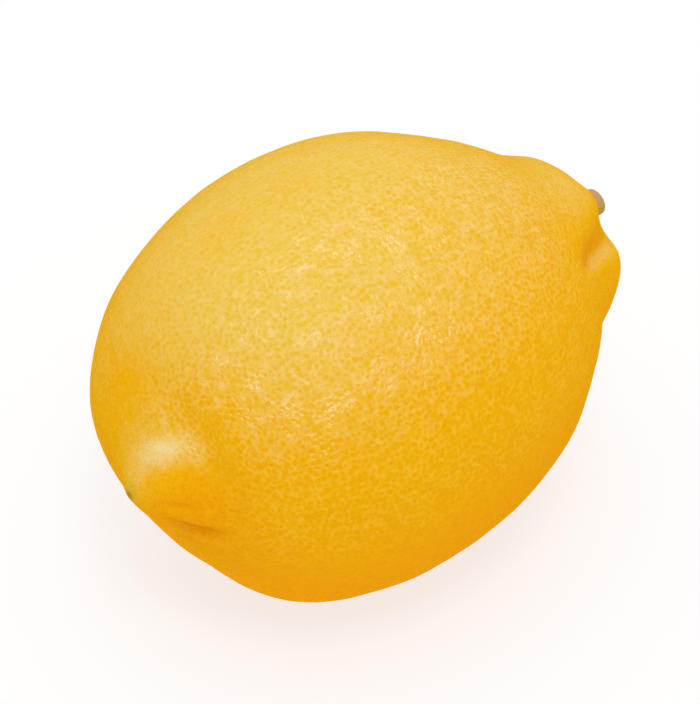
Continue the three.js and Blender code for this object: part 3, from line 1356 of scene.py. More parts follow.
@dataclass(frozen=True)
class PeelFinish:
    """Yellow peel with darker oil glands and a brown scar on the nipple, with light and shade painted
    on.

    A painted sheen, the pale veil of a soft overhead light's reflection, pales the peel between the
    glands on the side that faces up, and painted glints ring the part that faces a lamp. Shade is
    painted in the folds and creases and under and below the nipple's ridge; a highlight is painted
    along the ridge and warm bounce light on the underside. The colours come first, then what each
    mask is made with. Waves and clusters are counted in a metre, and the second number of each pair
    of waves is a strength or a width. `upward` and `facing` are steps over the cosine to the painted
    sheen's light and to the painted glints' lamp, `off_button` over the distance from the dimple at
    the stem end. What ends in `behind` is the share of a marking that is left at the fruit's back.
    """

    flesh: Colour = (0.86, 0.435, 0.002, 1.0)
    patch: Colour = (0.85, 0.445, 0.004, 1.0)
    # Painted bounce light: the underside's brighter, redder orange stands in for warm light thrown up
    # from below.
    underside: Colour = (0.91, 0.368, 0.0015, 1.0)
    gland: Colour = (0.91, 0.91, 0.17, 1.0)
    warm_gland: Colour = (0.96, 0.87, 0.15, 1.0)
    # Painted sheen in short pale strands between the glands.
    sheen_thread: Colour = (0.91, 0.72, 0.48, 1.0)
    # Painted glints: small pale highlights of a lamp on the peel's rims.
    painted_glint: Colour = (1.0, 0.82, 0.48, 1.0)
    # Painted shade below the nipple's ridge.
    below_ridge_shade: Colour = (0.86, 0.36, 0.0010, 1.0)
    # Painted shade in the folds, the furrow and the creases.
    crease: Colour = (0.76, 0.26, 0.001, 1.0)
    # Painted sheen: the pale veil that a soft overhead light's reflection lays on the peel.
    painted_sheen: Colour = (0.79, 0.525, 0.128, 1.0)
    # Painted highlight on the nipple's ridge.
    tip_highlight: Colour = (0.84, 0.665, 0.40, 1.0)
    olive: Colour = (0.60, 0.40, 0.02, 1.0)
    scar: Colour = (0.36, 0.19, 0.03, 1.0)

    patches: float = 70.0
    patch_band: Band = Band(0.40, 0.70)
    # Where the painted bounce light of the underside gives way, over upward.
    underside_upward: Band = Band(-0.55, 0.35)
    below_ridge_shade_strength: float = 0.9
    # Painted shade in the folds and the furrow.
    fold_shade_band: Band = Band(0.1, 1.0)
    fold_shade_strength: float = 0.5
    olive_ring: Band = Band(0.8 * MM, 3.2 * MM, 0.5, 0.0)
    scar_disc: Band = Band(0.3 * MM, 1.0 * MM, 0.85, 0.0)

    # Where the painted sheen falls: its light's direction, how it spreads and how uneven it is.
    sheen_side: Point = (-0.21, 0.0, 0.977)
    sheen_upward: Band = Band(0.30, 1.04)
    sheen_slip: float = 0.05
    # How much the painted shade under the nipple's ridge takes from the painted sheen.
    ridge_shade_strength: float = 0.6
    sheen_uneven: float = 0.42
    uneven_level: float = 0.6
    uneven_rise: Band = Band(-0.15, 0.12)
    uneven_fall: Band = Band(0.45, 0.85, 1.0, 0.0)
    # The painted highlight on the nipple's ridge, and how much it bares the glands' tint.
    ridge_highlight_strength: float = 0.86
    ridge_bare: float = 0.5

    ragged: float = 0.9 * MM
    ragged_fineness: float = 1300.0
    gland_least: float = 0.01 * MM
    gland_wall: Band = Band(0.15, 1.0)
    gland_present: Band = Band(0.02 * MM, 0.16 * MM)
    stain_strength: Band = Band(0.0, 1.0, 0.5, 1.0)

    net_glands: float = 1.15
    net_power: float = 0.8
    net_waves: tuple[tuple[float, float], ...] = ((1400.0, 1.0), (700.0, 1.3))
    net_level: float = 0.32
    net_band: Band = Band(-0.8, 0.8)
    net_off_button: Band = Band(9.0 * MM, 32.0 * MM, 0.35, 1.0)
    net_facing: Band = Band(0.80, 0.96, 1.0, 0.72)
    net_upward: Band = Band(-0.4, 0.2, 0.6, 1.0)
    net_behind: float = 0.5

    # The strands of painted sheen.
    sheen_thread_strength: float = 0.26
    thread_waves: tuple[tuple[float, float], ...] = ((620.0, 0.07), (1050.0, 0.08))
    thread_distortion: float = 0.6
    thread_gaps: float = 760.0
    thread_parts: Band = Band(0.45, 0.66)
    thread_upward: Band = Band(0.3, 0.88)
    thread_off_button: Band = Band(14.0 * MM, 40.0 * MM)
    thread_behind: float = 0.1

    # The painted glints: their strength, the lamp's mirror direction and where they fall.
    glint_strength: float = 0.42
    glint_side: Point = (-0.41, -0.45, 0.795)
    glint_height: float = 0.13 * MM
    wrinkle_fineness: float = 620.0
    wrinkle_distortion: float = 0.4
    wrinkle_share: float = 3.2
    glint_tilt: Band = Band(0.90, 0.995)
    glint_power: float = 2.0
    glint_clusters: float = 260.0
    glint_chance: float = 0.10
    glint_parts: Band = Band(0.49, 0.70)
    glint_facing: Band = Band(0.80, 0.90)
    glint_facing_middle: Band = Band(0.94, 0.985, 1.0, 0.15)
    glint_off_button: Band = Band(16.0 * MM, 34.0 * MM)
    glint_ridge_shade: Band = Band(0.0, 0.5, 1.0, 0.0)
    glint_behind: float = 0.0

    front_edge: float = -8.0 * MM
    back_edge: float = 6.0 * MM

    crease_width: float = 0.75 * MM
    crease_depth: float = 0.13 * MM
    crease_full_share: float = 0.2
    pit_height: float = 0.04 * MM
    grains: float = 1500.0
    grain_coarse: float = 1.0
    grain_height: float = 0.012 * MM
    roughness: float = 0.18
    gland_roughness: float = 0.30
    refraction: float = 1.45
    gloss: float = 0.035
    scatter: float = 0.08
    scatter_colours: Point = (1.0, 0.45, 0.08)
    scatter_depth: float = 0.8 * MM

    def make(self, effects: SharedEffects, landmarks: Landmarks) -> bpy.types.Material:
        """Returns the peel's material.

        Args:
            effects: The shared groups.
            landmarks: The places it is laid out from.

        Returns:
            The material.
        """
        material, graph, place = start_material("lemon_peel")
        PeelShader(self, graph, place, effects, landmarks).build()
        return material


class PeelShader:
    """Draws the peel's masks, colour and normal into its material's graph."""

    def __init__(
        self,
        finish: PeelFinish,
        graph: Graph,
        place: Any,
        effects: SharedEffects,
        landmarks: Landmarks,
    ) -> None:
        """Reads what several masks share.

        Args:
            finish: The colours and measures.
            graph: The material's graph.
            place: Object coordinates.
            effects: The shared groups.
            landmarks: The places that the material is laid out from.
        """
        self.finish = finish
        self.graph = graph
        self.place = place
        self.effects = effects
        self.landmarks = landmarks
        smooth = graph.add("ShaderNodeTexCoord").outputs["Normal"]
        # upward is the cosine to the painted sheen's light, facing the cosine to the painted glints'
        # lamp.
        self.upward = graph.dot(smooth, finish.sheen_side)
        self.facing = graph.dot(smooth, finish.glint_side)
        self.off_button = graph.distance(place, landmarks.button)
        self.side = graph.add("ShaderNodeSeparateXYZ", {"Vector": place}).outputs["Y"]
        # Where shade is painted under the nipple's ridge.
        self.ridge_shade = graph.mark(Mark.RIDGE_SHADE)
        self.tone = graph.mark(Mark.GLAND_TONE)

    def liveliness(self, least: float) -> Any:
        """Returns how strongly the peel is marked, from 1 at the fruit's front to `least` behind."""
        finish = self.finish
        return self.graph.between(self.side, finish.front_edge, finish.back_edge, 1.0, least)

    def gland_mask(self) -> Any:
        """Returns the mask that is 1 in the middle of a gland and 0 between glands.

        Returns:
            A number socket.
        """
        finish, graph = self.finish, self.graph
        noise = graph.noise(self.place, finish.ragged_fineness).outputs["Color"]
        stray = graph.vector("SUBTRACT", noise, (MIDDLE, MIDDLE, MIDDLE)).outputs[0]
        moved = graph.vector("ADD", self.place, graph.scaled(stray, finish.ragged)).outputs[0]
        distance = graph.distance(moved, graph.mark(Mark.GLAND_CENTRE, "Vector"))
        size = graph.mark(Mark.GLAND_SIZE)
        share = graph.math("DIVIDE", distance, graph.math("MAXIMUM", size, finish.gland_least))
        wall = graph.step(share, finish.gland_wall)
        return graph.times(graph.rest(wall), graph.step(size, finish.gland_present))

    def crease_mask(self) -> Any:
        """Returns the mask that is 1 in the sharp bottom of the creases beside the nipple, where they
        are bumped in and shade is painted.

        Returns:
            A number socket.
        """
        finish, graph, place = self.finish, self.graph, self.place
        mask = 0.0
        for start, middle, end, strength in self.landmarks.creases:
            half = math.dist(start, end) / 2
            off = graph.distance(place, middle)
            along = graph.between(off, finish.crease_full_share * half, half, 1.0, 0.0)
            for first, last in ((start, middle), (middle, end)):
                ends = {"Vector": place, "Start": first, "End": last}
                distance = use_group(graph, self.effects.line, ends)
                core = graph.between(distance, 0.0, finish.crease_width, strength, 0.0)
                mask = graph.math("MAXIMUM", mask, graph.times(core, along))
        return mask

    def relief(self, gland: Any, crease: Any) -> Any:
        """Returns the normal of the creased, pitted and grained peel.

        Args:
            gland: The mask that is 1 in a gland.
            crease: The mask that is 1 in the bottom of a crease.

        Returns:
            A normal socket.
        """
        finish, graph = self.finish, self.graph
        grain = self.effects.grains(graph, self.place, finish.grains, finish.grain_coarse)
        creased = graph.bump(crease, finish.crease_depth, invert=True)
        pitted = graph.bump(gland, finish.pit_height, creased, invert=True)
        return graph.bump(grain, finish.grain_height, pitted)

    def network(self, stain: Any) -> Any:
        """Returns the net between the glands, where the painted sheen lies thicker, from 0 in a gland to
        1 where it is thickest.

        Args:
            stain: The mask of the dark middles of the glands.

        Returns:
            A number socket.
        """
        finish, graph = self.finish, self.graph
        level = graph.times(graph.math("POWER", stain, finish.net_power), -finish.net_glands)
        for fineness, strength in finish.net_waves:
            noise = graph.noise(self.place, fineness).outputs[0]
            uneven = graph.times(graph.math("SUBTRACT", noise, MIDDLE), strength)
            level = graph.math("ADD", level, uneven)
        # The net is weaker round the painted glints' middle and towards the underside, following the
        # painted light.
        calm = graph.times(
            graph.step(self.off_button, finish.net_off_button),
            self.liveliness(finish.net_behind),
            graph.step(self.facing, finish.net_facing),
            graph.step(self.upward, finish.net_upward),
        )
        level = graph.times(graph.math("ADD", level, finish.net_level), calm)
        return graph.step(level, finish.net_band)

    def sheen_threads(self) -> Any:
        """Returns the mask of short strands of painted sheen between the glands, on the side that faces
        up.

        Returns:
            A number socket.
        """
        finish, graph = self.finish, self.graph
        lines = 0.0
        for fineness, width in finish.thread_waves:
            noise = graph.noise(self.place, fineness, Distortion=finish.thread_distortion)
            uneven = graph.math("SUBTRACT", noise.outputs[0], MIDDLE)
            line = graph.between(graph.math("ABSOLUTE", uneven), 0.0, width, 1.0, 0.0)
            lines = graph.math("MAXIMUM", lines, line)
        gaps = graph.noise(self.place, finish.thread_gaps, 2.0).outputs[0]
        return graph.times(
            lines,
            graph.step(gaps, finish.thread_parts),
            graph.step(self.upward, finish.thread_upward),
            graph.step(self.off_button, finish.thread_off_button),
            self.liveliness(finish.thread_behind),
            graph.rest(self.ridge_shade),
        )

    def painted_glints(self, gland: Any) -> Any:
        """Returns the mask of the painted glints on the wrinkles and rims that tilt to one side.

        They lie in a ring round the part of the peel that faces that side, as one lamp's glints would.

        Args:
            gland: The mask that is 1 in a gland.

        Returns:
            A number socket.
        """
        finish, graph = self.finish, self.graph
        wrinkle = graph.noise(
            self.place, finish.wrinkle_fineness, Distortion=finish.wrinkle_distortion
        ).outputs[0]
        height = graph.math("SUBTRACT", graph.times(wrinkle, finish.wrinkle_share), gland)
        tilted = graph.dot(graph.bump(height, finish.glint_height), finish.glint_side)
        cluster = graph.noise(self.place, finish.glint_clusters, 2.0).outputs[0]
        cluster = graph.math("ADD", cluster, graph.times(self.tone, finish.glint_chance))
        return graph.times(
            graph.math("POWER", graph.step(tilted, finish.glint_tilt), finish.glint_power),
            graph.step(cluster, finish.glint_parts),
            graph.step(self.facing, finish.glint_facing),
            graph.step(self.facing, finish.glint_facing_middle),
            graph.step(self.off_button, finish.glint_off_button),
            self.liveliness(finish.glint_behind),
            graph.step(self.ridge_shade, finish.glint_ridge_shade),
        )

    def sheen_cover(self, net: Any) -> Any:
        """Returns how fully the painted sheen covers the peel, from 0 up, less where shade is painted
        under the nipple's ridge.

        Args:
            net: The pale net between the glands.

        Returns:
            A number socket.
        """
        finish, graph = self.finish, self.graph
        bared = graph.math("SUBTRACT", self.upward, graph.times(self.ridge_shade, finish.ridge_shade_strength))
        slip = graph.times(graph.math("SUBTRACT", net, MIDDLE), finish.sheen_slip)
        cover = graph.step(graph.math("ADD", bared, slip), finish.sheen_upward)
        # Painted sheen made stronger or weaker in patches.
        cover = graph.math("ADD", cover, graph.mark(Mark.BLOOM))
        uneven = graph.times(
            graph.times(graph.math("SUBTRACT", net, finish.uneven_level), finish.sheen_uneven),
            graph.times(
                graph.step(self.upward, finish.uneven_rise),
                graph.step(self.upward, finish.uneven_fall),
                graph.rest(self.ridge_shade),
            ),
        )
        return graph.math("MAXIMUM", graph.math("ADD", cover, uneven), 0.0)

    def flesh(self, crease: Any) -> Any:
        """Returns the peel's colour under the painted sheen and between glands, with painted bounce
        light on the underside and painted shade below the nipple's ridge and in the folds and creases.

        Args:
            crease: The mask that is 1 in the bottom of a crease.

        Returns:
            A colour socket.
        """
        finish, graph = self.finish, self.graph
        patches = self.effects.patches(graph, self.place, finish.patches, finish.patch_band)
        colour = graph.mix(patches, finish.flesh, finish.patch)
        # Painted bounce light: brighter, redder orange on the side that faces down.
        lit = graph.step(self.upward, finish.underside_upward)
        colour = graph.mix(lit, finish.underside, colour)
        # Painted shade below the nipple's ridge.
        below_ridge_shade = graph.times(graph.mark(Mark.BELOW_RIDGE_SHADE), finish.below_ridge_shade_strength)
        colour = graph.mix(below_ridge_shade, colour, finish.below_ridge_shade)
        # Painted shade in the folds, the furrow and the creases.
        fold = graph.times(graph.step(graph.mark(Mark.FOLD_SHADE), finish.fold_shade_band), finish.fold_shade_strength)
        return graph.mix(graph.math("MAXIMUM", fold, crease), colour, finish.crease)

    def colour(self, gland: Any, crease: Any) -> Any:
        """Returns the colour of the peel over the whole fruit.

        Args:
            gland: The mask that is 1 in a gland.
            crease: The mask that is 1 in the bottom of a crease.

        Returns:
            A colour socket.
        """
        finish, graph = self.finish, self.graph
        net = self.network(graph.times(gland, graph.step(self.tone, finish.stain_strength)))
        # Painted sheen over the side that faces up.
        colour = graph.mix(self.sheen_cover(net), self.flesh(crease), finish.painted_sheen)
        # Painted highlight along the nipple's ridge, which also bares the glands' tint.
        ridge = graph.mark(Mark.RIDGE_HIGHLIGHT)
        colour = graph.mix(graph.times(ridge, finish.ridge_highlight_strength), colour, finish.tip_highlight)
        tint = graph.mix(self.tone, finish.gland, finish.warm_gland)
        bare = graph.math("MAXIMUM", net, graph.times(ridge, finish.ridge_bare))
        colour = graph.mix(1.0, colour, graph.mix(bare, tint, WHITE), "MULTIPLY")
        # Painted sheen in short strands.
        sheen_threads = graph.times(self.sheen_threads(), finish.sheen_thread_strength)
        colour = graph.mix(sheen_threads, colour, finish.sheen_thread)
        # Painted glints.
        painted_glints = graph.times(self.painted_glints(gland), finish.glint_strength)
        colour = graph.mix(painted_glints, colour, finish.painted_glint)
        from_tip = graph.distance(self.place, self.landmarks.tip)
        colour = graph.mix(graph.step(from_tip, finish.olive_ring), colour, finish.olive)
        return graph.mix(graph.step(from_tip, finish.scar_disc), colour, finish.scar)

    def build(self) -> None:
        """Draws the whole material."""
        finish, graph = self.finish, self.graph
        gland, crease = self.gland_mask(), self.crease_mask()
        rough = graph.between(gland, 0.0, 1.0, finish.roughness, finish.gland_roughness)
        end_material(
            graph,
            {
                "Base Color": self.colour(gland, crease),
                "Roughness": rough,
                "Normal": self.relief(gland, crease),
                "IOR": finish.refraction,
                "Specular IOR Level": finish.gloss,
                "Subsurface Weight": finish.scatter,
                "Subsurface Radius": finish.scatter_colours,
                "Subsurface Scale": finish.scatter_depth,
            },
        )


@dataclass(frozen=True)
class DryFinish:
    """A dry surface with a grain and soft patches: fineness in waves a metre, height in metres."""

    roughness: float
    patches: float
    patch_band: Band
    grains: float
    grain_coarse: float
    grain_height: float

    def patch_mask(self, graph: Graph, place: Any, effects: SharedEffects) -> Any:
        """Returns the mask of the soft patches."""
        return effects.patches(graph, place, self.patches, self.patch_band)

    def end(self, graph: Graph, place: Any, effects: SharedEffects, colour: Any) -> None:
        """Ends the material in this colour, with the grain and the roughness.

        Args:
            graph: The material's graph.
            place: Object coordinates.
            effects: The shared groups.
            colour: The surface's colour.
        """
        grain = effects.grains(graph, place, self.grains, self.grain_coarse)
        normal = graph.bump(grain, self.grain_height)
        end_material(graph, {"Base Color": colour, "Roughness": self.roughness, "Normal": normal})


@dataclass(frozen=True)
class CalyxFinish(DryFinish):
    """Dry green calyx that is corky and brown towards its rim."""

    roughness: float = 0.62
    patches: float = 600.0
    patch_band: Band = Band(0.4, 0.65)
    grains: float = 3500.0
    grain_coarse: float = 1.5
    grain_height: float = 0.06 * MM
    green: Colour = (0.20, 0.24, 0.035, 1.0)
    pale: Colour = (0.36, 0.36, 0.09, 1.0)
    cork: Colour = (0.30, 0.19, 0.09, 1.0)
    cork_band: Band = Band(0.72, 1.0)

    def make(self, effects: SharedEffects) -> bpy.types.Material:
        """Returns the calyx's material.

        Args:
            effects: The shared groups.

        Returns:
            The material.
        """
        material, graph, place = start_material("dry_calyx")
        colour = graph.mix(self.patch_mask(graph, place, effects), self.green, self.pale)
        corky = graph.step(graph.mark(Mark.RIM), self.cork_band)
        self.end(graph, place, effects, graph.mix(corky, colour, self.cork))
        return material


@dataclass(frozen=True)
class StalkFinish(DryFinish):
    """Pinkish-brown bark, greener low down, with a paler cut end."""

    roughness: float = 0.7
    patches: float = 500.0
    patch_band: Band = Band(0.35, 0.7)
    grains: float = 3000.0
    grain_coarse: float = 2.0
    grain_height: float = 0.08 * MM
    bark: Colour = (0.50, 0.28, 0.13, 1.0)
    green: Colour = (0.46, 0.33, 0.015, 1.0)
    wood: Colour = (0.52, 0.40, 0.26, 1.0)
    fresh_side: Point = (0.0, -0.906, -0.423)
    fresh_reach: float = 0.9
    fresh_least: float = 0.6
    wood_band: Band = Band(0.2, 0.9)

    def make(self, effects: SharedEffects, middle: Point, radius: float) -> bpy.types.Material:
        """Returns the stalk's material.

        Args:
            effects: The shared groups.
            middle: A point on the stalk's own axis.
            radius: The stalk's radius.

        Returns:
            The material.
        """
        material, graph, place = start_material("stalk_bark")
        off = graph.vector("SUBTRACT", place, middle).outputs[0]
        under = graph.between(graph.dot(off, self.fresh_side), 0.0, self.fresh_reach * radius)
        patches = self.patch_mask(graph, place, effects)
        fresh = graph.times(under, graph.between(patches, 0.0, 1.0, self.fresh_least, 1.0))
        colour = graph.mix(fresh, self.bark, self.green)
        cut = graph.step(graph.mark(Mark.CUT), self.wood_band)
        self.end(graph, place, effects, graph.mix(cut, colour, self.wood))
        return material


# ---- the pieces -----------------------------------------------------------------------------


def finish_piece(piece: bpy.types.Object, node: str) -> None:
    """Attaches a finished piece to what it rides on, hides the solid it replaces and logs its size.

    Args:
        piece: The piece.
        node: The solid it replaces.
    """
    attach(piece, BODY)
    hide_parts(node)
    LOG.info("%s: %d vertices, %d faces", piece.name, len(piece.data.vertices), len(piece.data.polygons))


@dataclass
class Peel:
    """The whole fruit's skin, with its oil glands."""

    skin: Skin
    finish: PeelFinish
    rings: int = 150
    around: int = 180
    gland_spacing: float = 0.80 * MM
    tip_spacing: float = 0.52 * MM
    tip_zone: float = 12.0 * MM
    gland_density: float = 1.6e7
    gland_smallest: float = 0.36 * MM
    gland_largest: float = 0.74 * MM
    gland_depth: float = 0.03 * MM
    tip_bare: float = 6.0 * MM
    tip_full: float = 14.0 * MM
    button_bare: float = 8.0 * MM
    button_full: float = 23.0 * MM
    wave_height: float = 0.22 * MM
    waves_per_metre: float = 230.0
    creases: tuple[Crease, ...] = (
        Crease(strength=1.0, places=((5.0 * MM, 110), (9.5 * MM, 105.5), (14.5 * MM, 101))),
        Crease(strength=0.3, places=((5.5 * MM, 79), (8.0 * MM, 76), (11.0 * MM, 82))),
    )
    seed: int = 11

    def smooth_skin(self) -> bpy.types.Object:
        """Returns the skin with no glands, for them to be scattered on.

        Its faces look inward, which makes no difference to where glands fall.

        Returns:
            The object, with a smooth mesh.
        """
        polar = np.linspace(0, 180, self.rings + 2)[1:-1]
        directions = rings_of_directions(polar, self.around)
        return mesh_object("fruit", self.skin.points(directions), ring_faces(self.rings, self.around))

    def landmarks(self) -> Landmarks:
        """Returns the nipple's tip, the dimple's middle and the creases, on the skin.

        Returns:
            The places, in the frame.
        """
        skin = self.skin
        creases = tuple(
            (*(skin.nipple_place(off, around) for off, around in crease.places), crease.strength)
            for crease in self.creases
        )
        tip, button = skin.points(np.stack([skin.nipple_axis(), skin.stalk_axis()])).tolist()
        return Landmarks(tip=tuple(tip), button=tuple(button), creases=creases)

    def join_glands(self, piece: bpy.types.Object) -> None:
        """Replaces the scattered glands with a closed net that has a corner at each.

        Args:
            piece: The object whose mesh is the scattered vertices.
        """
        count = len(piece.data.vertices)
        places = np.empty(count * 3)
        piece.data.vertices.foreach_get("co", places)
        off_heart = places.reshape(count, 3) - np.array(self.skin.heart)
        directions = off_heart / np.linalg.norm(off_heart, axis=1)[:, None]
        points = self.skin.points(directions)
        mesh = bpy.data.meshes.new(piece.name)
        mesh.from_pydata(points.tolist(), [], net_over_sphere(directions))
        replace_mesh(piece, mesh)
        for mark, values in PeelMap(self.skin).masks(directions).items():
            mark_points(piece, mark, values)

    def build(self, effects: SharedEffects) -> bpy.types.Object:
        """Builds the finished peel.

        Args:
            effects: The shader groups that its finish shares with others.

        Returns:
            The piece, which rides, replaces its node and wears its material.
        """
        landmarks = self.landmarks()
        material = self.finish.make(effects, landmarks)
        piece = self.smooth_skin()
        common = {"Tip": landmarks.tip, "Seed": self.seed, "Material": material}
        scatter = {
            "Spacing": self.gland_spacing,
            "Tip Spacing": self.tip_spacing,
            "Tip Zone": self.tip_zone,
            "Density": self.gland_density,
            **common,
        }
        run_tree(piece, gland_scatter_tree(scatter), scatter)
        self.join_glands(piece)
        relief = {
            "Smallest": self.gland_smallest,
            "Largest": self.gland_largest,
            "Depth": self.gland_depth,
            "Tip Bare": self.tip_bare,
            "Tip Full": self.tip_full,
            "Button": landmarks.button,
            "Button Bare": self.button_bare,
            "Button Full": self.button_full,
            "Wave Height": self.wave_height,
            "Waves per Metre": self.waves_per_metre,
            **common,
        }
        run_tree(piece, gland_relief_tree(relief), relief)
        finish_piece(piece, "fruit")
        return piece


@dataclass
class Calyx:
    """The dry five-lobed disc under the stalk, seated on the peel."""

    skin: Skin
    finish: CalyxFinish
    clearance: float = 0.3 * MM
    radius: float = 3.3 * MM
    lobes: int = 5
    lobe: float = 0.5 * MM
    thickness: float = 1.2 * MM
    edge: float = 0.45 * MM
    edge_power: int = 3
    seat: float = 0.15 * MM
    ridge: float = 0.14 * MM
    fine_ridges: int = 35
    fine_share: float = 0.5
    around: int = 120
    steps: int = 14

    def build(self, effects: SharedEffects) -> bpy.types.Object:
        """Builds the finished calyx.

        Args:
            effects: The shader groups that its finish shares with others.

        Returns:
            The piece, which rides, replaces its node and wears its material.
        """
        out = np.linspace(0, 1, self.steps + 1)
        shares = np.concatenate([out[1:], np.linspace(1, 0, self.steps + 1)[:-1]])
        share = np.concatenate([[0.0], np.repeat(shares, self.around), [0.0]])
        on_top = np.arange(len(share)) <= self.steps * self.around
        about = np.tile(np.arange(self.around) * 2 * np.pi / self.around, 2 * self.steps)
        about = np.concatenate([[0.0], about, [0.0]])
        petals = np.cos(self.lobes * about)
        spread = share * (self.radius + self.lobe * petals * share) / self.skin.neck_arc
        directions = self.skin.towards_button(about_x(np.cos(spread), np.sin(spread), about))
        crown = self.thickness - (self.thickness - self.edge) * share**self.edge_power
        halfway = share * (1 - share) * 4  # a hump of height 1 halfway out
        ribs = self.ridge * halfway * (petals + self.fine_share * np.cos(self.fine_ridges * about))
        proud = np.where(on_top, self.clearance + crown + ribs, -self.seat)
        points = self.skin.points(directions, proud)
        faces = [face[::-1] for face in ring_faces(2 * self.steps, self.around)]
        piece = mesh_object("calyx", points, faces)
        mark_points(piece, Mark.RIM, share)
        piece.data.materials.append(self.finish.make(effects))
        finish_piece(piece, "calyx")
        return piece


@dataclass
class Stalk:
    """The short cut stub of the stalk, whose foot is sunk in the calyx.

    `foot_shares` and `cut_shares` are shares of the radius, at the rings across its two ends.
    """

    skin: Skin
    finish: StalkFinish
    foot_height: float = 0.5 * MM
    radius: float = 2.0 * MM
    reach: float = 50.3 * MM
    flare: float = 0.5 * MM
    flare_share: float = 0.45
    widening: float = 0.1 * MM
    bevel: float = 0.5 * MM
    bevel_cut: float = 0.5
    dish: float = 0.12 * MM
    dish_middle: float = 0.15 * MM
    groove: float = 0.05 * MM
    groove_counts: tuple[int, ...] = (7, 11, 18, 29)
    foot_shares: tuple[float, ...] = (0.35, 0.7, 0.95)
    side_rings: int = 16
    bevel_rings: int = 5
    cut_shares: tuple[float, ...] = (0.85, 0.6, 0.35, 0.15)
    around: int = 96
    seed: int = 5

    def outline(self) -> np.ndarray:
        """Returns the half outline, as distances from the heart and from the axis, and the cut mark.

        Returns:
            One row for each ring, from the foot to the cut end.
        """
        foot = float(self.skin.radius(self.skin.stalk_axis()[None])[0]) + self.foot_height
        rows = [(foot, share * (self.radius + self.flare), 0.0) for share in self.foot_shares]
        for share in np.linspace(0, 1, self.side_rings):
            along = foot + share * (self.reach - self.bevel - foot)
            flare = self.flare * (1 - ease(0.0, self.flare_share, np.array(share)))
            rows.append((along, self.radius + float(flare) + self.widening * share, 0.0))
        for angle in np.linspace(0, math.pi / 2, self.bevel_rings + 1)[1:]:
            rows.append((
                self.reach - self.bevel * (1 - math.sin(angle)),
                self.radius + self.widening - self.bevel * (1 - math.cos(angle)),
                self.bevel_cut * math.sin(angle),
            ))
        for share in self.cut_shares:
            rows.append((self.reach - self.dish * (1 - share), share * (self.radius - self.bevel), 1.0))
        return np.array([(foot, 0.0, 0.0), *rows, (self.reach - self.dish_middle, 0.0, 1.0)])

    def grooves(self, about: np.ndarray) -> np.ndarray:
        """Returns the bark's height round the stub, of which 1 is the most it could be.

        Args:
            about: The angles about the axis, in radians.

        Returns:
            One number for each angle.
        """
        rng = np.random.default_rng(self.seed)
        phases = rng.uniform(0, 2 * np.pi, len(self.groove_counts))
        waves = sum(np.sin(count * about + phase) for count, phase in zip(self.groove_counts, phases))
        return waves / len(self.groove_counts)

    def build(self, effects: SharedEffects) -> bpy.types.Object:
        """Builds the finished stub.

        Args:
            effects: The shader groups that its finish shares with others.

        Returns:
            The piece, which rides, replaces its node and wears its material.
        """
        outline = self.outline()
        along, off, cut = outline[1:-1].T
        about = np.arange(self.around) * 2 * np.pi / self.around
        side = off > self.radius - self.bevel
        grooved = off[:, None] + self.groove * self.grooves(about)[None, :] * side[:, None]
        rings = about_x(np.broadcast_to(along[:, None], grooved.shape), grooved, about).reshape(-1, 3)
        foot, end = outline[[0, -1], 0]
        points = np.vstack([[foot, 0, 0], rings, [end, 0, 0]])
        points = self.skin.towards_button(points) + np.array(self.skin.heart)
        piece = mesh_object("stalk_stub", points, ring_faces(len(along), self.around))
        mark_points(piece, Mark.CUT, np.concatenate([[0.0], np.repeat(cut, self.around), [1.0]]))
        middle = self.skin.stalk_axis() * self.reach + np.array(self.skin.heart)
        material = self.finish.make(effects, tuple(middle.tolist()), self.radius)
        piece.data.materials.append(material)
        finish_piece(piece, "stalk_stub")
        return piece


# ---- the studio -----------------------------------------------------------------------------


@dataclass(frozen=True)
class Lamp:
    """A square soft lamp that faces the fruit: angles in degrees, lengths in metres, watts."""

    name: str
    azimuth: float
    elevation: float
    distance: float
    size: float
    power: float


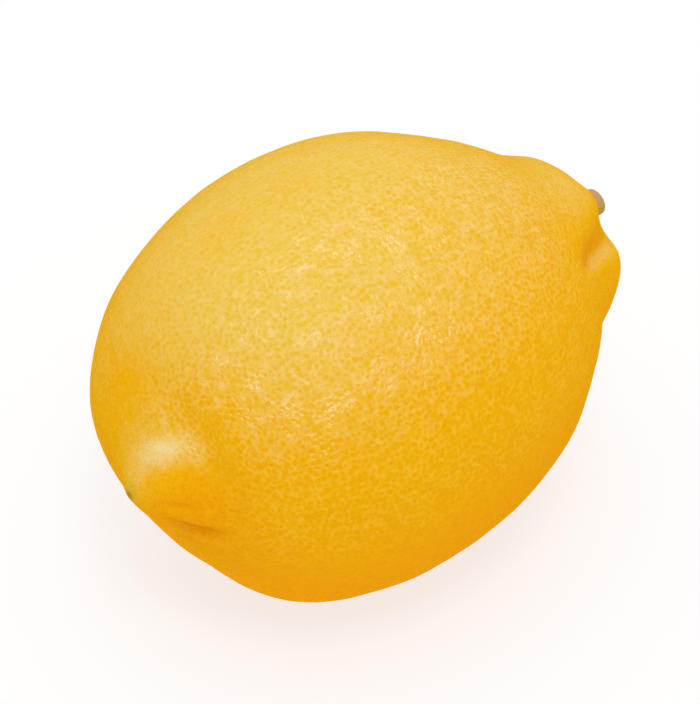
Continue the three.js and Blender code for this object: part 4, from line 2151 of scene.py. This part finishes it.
@dataclass(frozen=True)
class Studio:
    """The floor, the light all round, the lamps and the camera.

    `horizon` is a step over the height of a direction, from the warm card below to the sky.
    """

    floor_size: float = 6.0
    floor_colour: Colour = (0.28, 0.28, 0.28, 1.0)
    floor_roughness: float = 0.9
    floor_gloss: float = 0.1
    floor_glow: Colour = WHITE
    floor_glow_strength: float = 0.69
    sky: Colour = WHITE
    warm_card: Colour = (0.95, 0.50, 0.02, 1.0)
    horizon: Band = Band(-0.09, -0.035)
    sky_strength: float = 0.82
    lamps: tuple[Lamp, ...] = (
        Lamp("overhead", azimuth=150, elevation=75, distance=0.9, size=0.9, power=1.6),
        Lamp("key", azimuth=-30, elevation=64, distance=1.0, size=0.30, power=2.2),
    )
    lens: float = 180.0
    sensor: float = 36.0
    clip_start: float = 0.01
    camera_azimuth: float = -41.5
    camera_elevation: float = 41.0
    camera_distance: float = 0.507
    aim: Point = (-4.228 * MM, 0.0, 32.92 * MM)

    def place(
        self, name: str, data: bpy.types.ID, azimuth: float, elevation: float, distance: float
    ) -> bpy.types.Object:
        """Returns an object that looks at the fruit.

        Args:
            name: The object's name.
            data: The lamp or camera it holds.
            azimuth: Its angle about the fruit from the side at -Y, in degrees.
            elevation: Its angle above the floor, in degrees.
            distance: How far it is from what it looks at.

        Returns:
            The new object.
        """
        about, rise = math.radians(azimuth), math.radians(elevation)
        towards = Vector((
            math.sin(about) * math.cos(rise),
            -math.cos(about) * math.cos(rise),
            math.sin(rise),
        ))
        made = add_object(name, data)
        made.location = Vector(self.aim) + towards * distance
        made.rotation_euler = (-towards).to_track_quat("-Z", "Y").to_euler()
        return made

    def build_floor(self) -> None:
        """Lays the plain pale floor: a milky table lit from below, so that shadows stay light."""
        half = self.floor_size / 2
        corners = np.array([[-half, -half, 0], [half, -half, 0], [half, half, 0], [-half, half, 0]])
        floor = mesh_object("floor", corners, [(0, 1, 2, 3)])
        material, graph, _ = start_material("pale_floor")
        end_material(
            graph,
            {
                "Base Color": self.floor_colour,
                "Roughness": self.floor_roughness,
                "Specular IOR Level": self.floor_gloss,
                "Emission Color": self.floor_glow,
                "Emission Strength": self.floor_glow_strength,
            },
        )
        floor.data.materials.append(material)
        floor.visible_glossy = False

    def build_light(self) -> None:
        """Sets the light all round and hangs the lamps.

        The floor shows in no reflection, so the light from below the horizon is what the
        fruit's underside mirrors: a warm card.
        """
        world = bpy.data.worlds.new("studio")
        world.use_nodes = True
        world.node_tree.nodes.clear()
        graph = Graph(world.node_tree)
        towards = graph.add("ShaderNodeTexCoord").outputs["Generated"]
        rise = graph.add("ShaderNodeSeparateXYZ", {"Vector": towards}).outputs["Z"]
        colour = graph.mix(graph.step(rise, self.horizon), self.warm_card, self.sky)
        glow = graph.add("ShaderNodeBackground", {"Color": colour, "Strength": self.sky_strength})
        graph.add("ShaderNodeOutputWorld", {"Surface": glow.outputs[0]})
        bpy.context.scene.world = world
        for lamp in self.lamps:
            light = bpy.data.lights.new(lamp.name, "AREA")
            light.shape = "SQUARE"
            light.size = lamp.size
            light.energy = lamp.power
            self.place(lamp.name, light, lamp.azimuth, lamp.elevation, lamp.distance)

    def build_camera(self) -> None:
        """Sets the camera and the plain way its picture is shown."""
        camera = bpy.data.cameras.new("camera")
        camera.lens = self.lens
        camera.sensor_width = self.sensor
        camera.clip_start = self.clip_start
        scene = bpy.context.scene
        scene.camera = self.place(
            "camera", camera, self.camera_azimuth, self.camera_elevation, self.camera_distance
        )
        scene.view_settings.view_transform = "Standard"
        scene.view_settings.look = "None"

    def build(self) -> None:
        """Makes the whole studio."""
        self.build_floor()
        self.build_light()
        self.build_camera()


def main() -> None:
    """Builds the lemon and its studio."""
    logging.basicConfig(level=logging.INFO, format="%(name)s: %(message)s")
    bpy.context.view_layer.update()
    effects = SharedEffects(mottle=mottle_group(), grain=grain_group(), line=line_group())
    skin = Skin()
    Peel(skin=skin, finish=PeelFinish()).build(effects)
    Calyx(skin=skin, finish=CalyxFinish()).build(effects)
    Stalk(skin=skin, finish=StalkFinish()).build(effects)
    Studio().build()


if __name__ == "__main__":
    main()
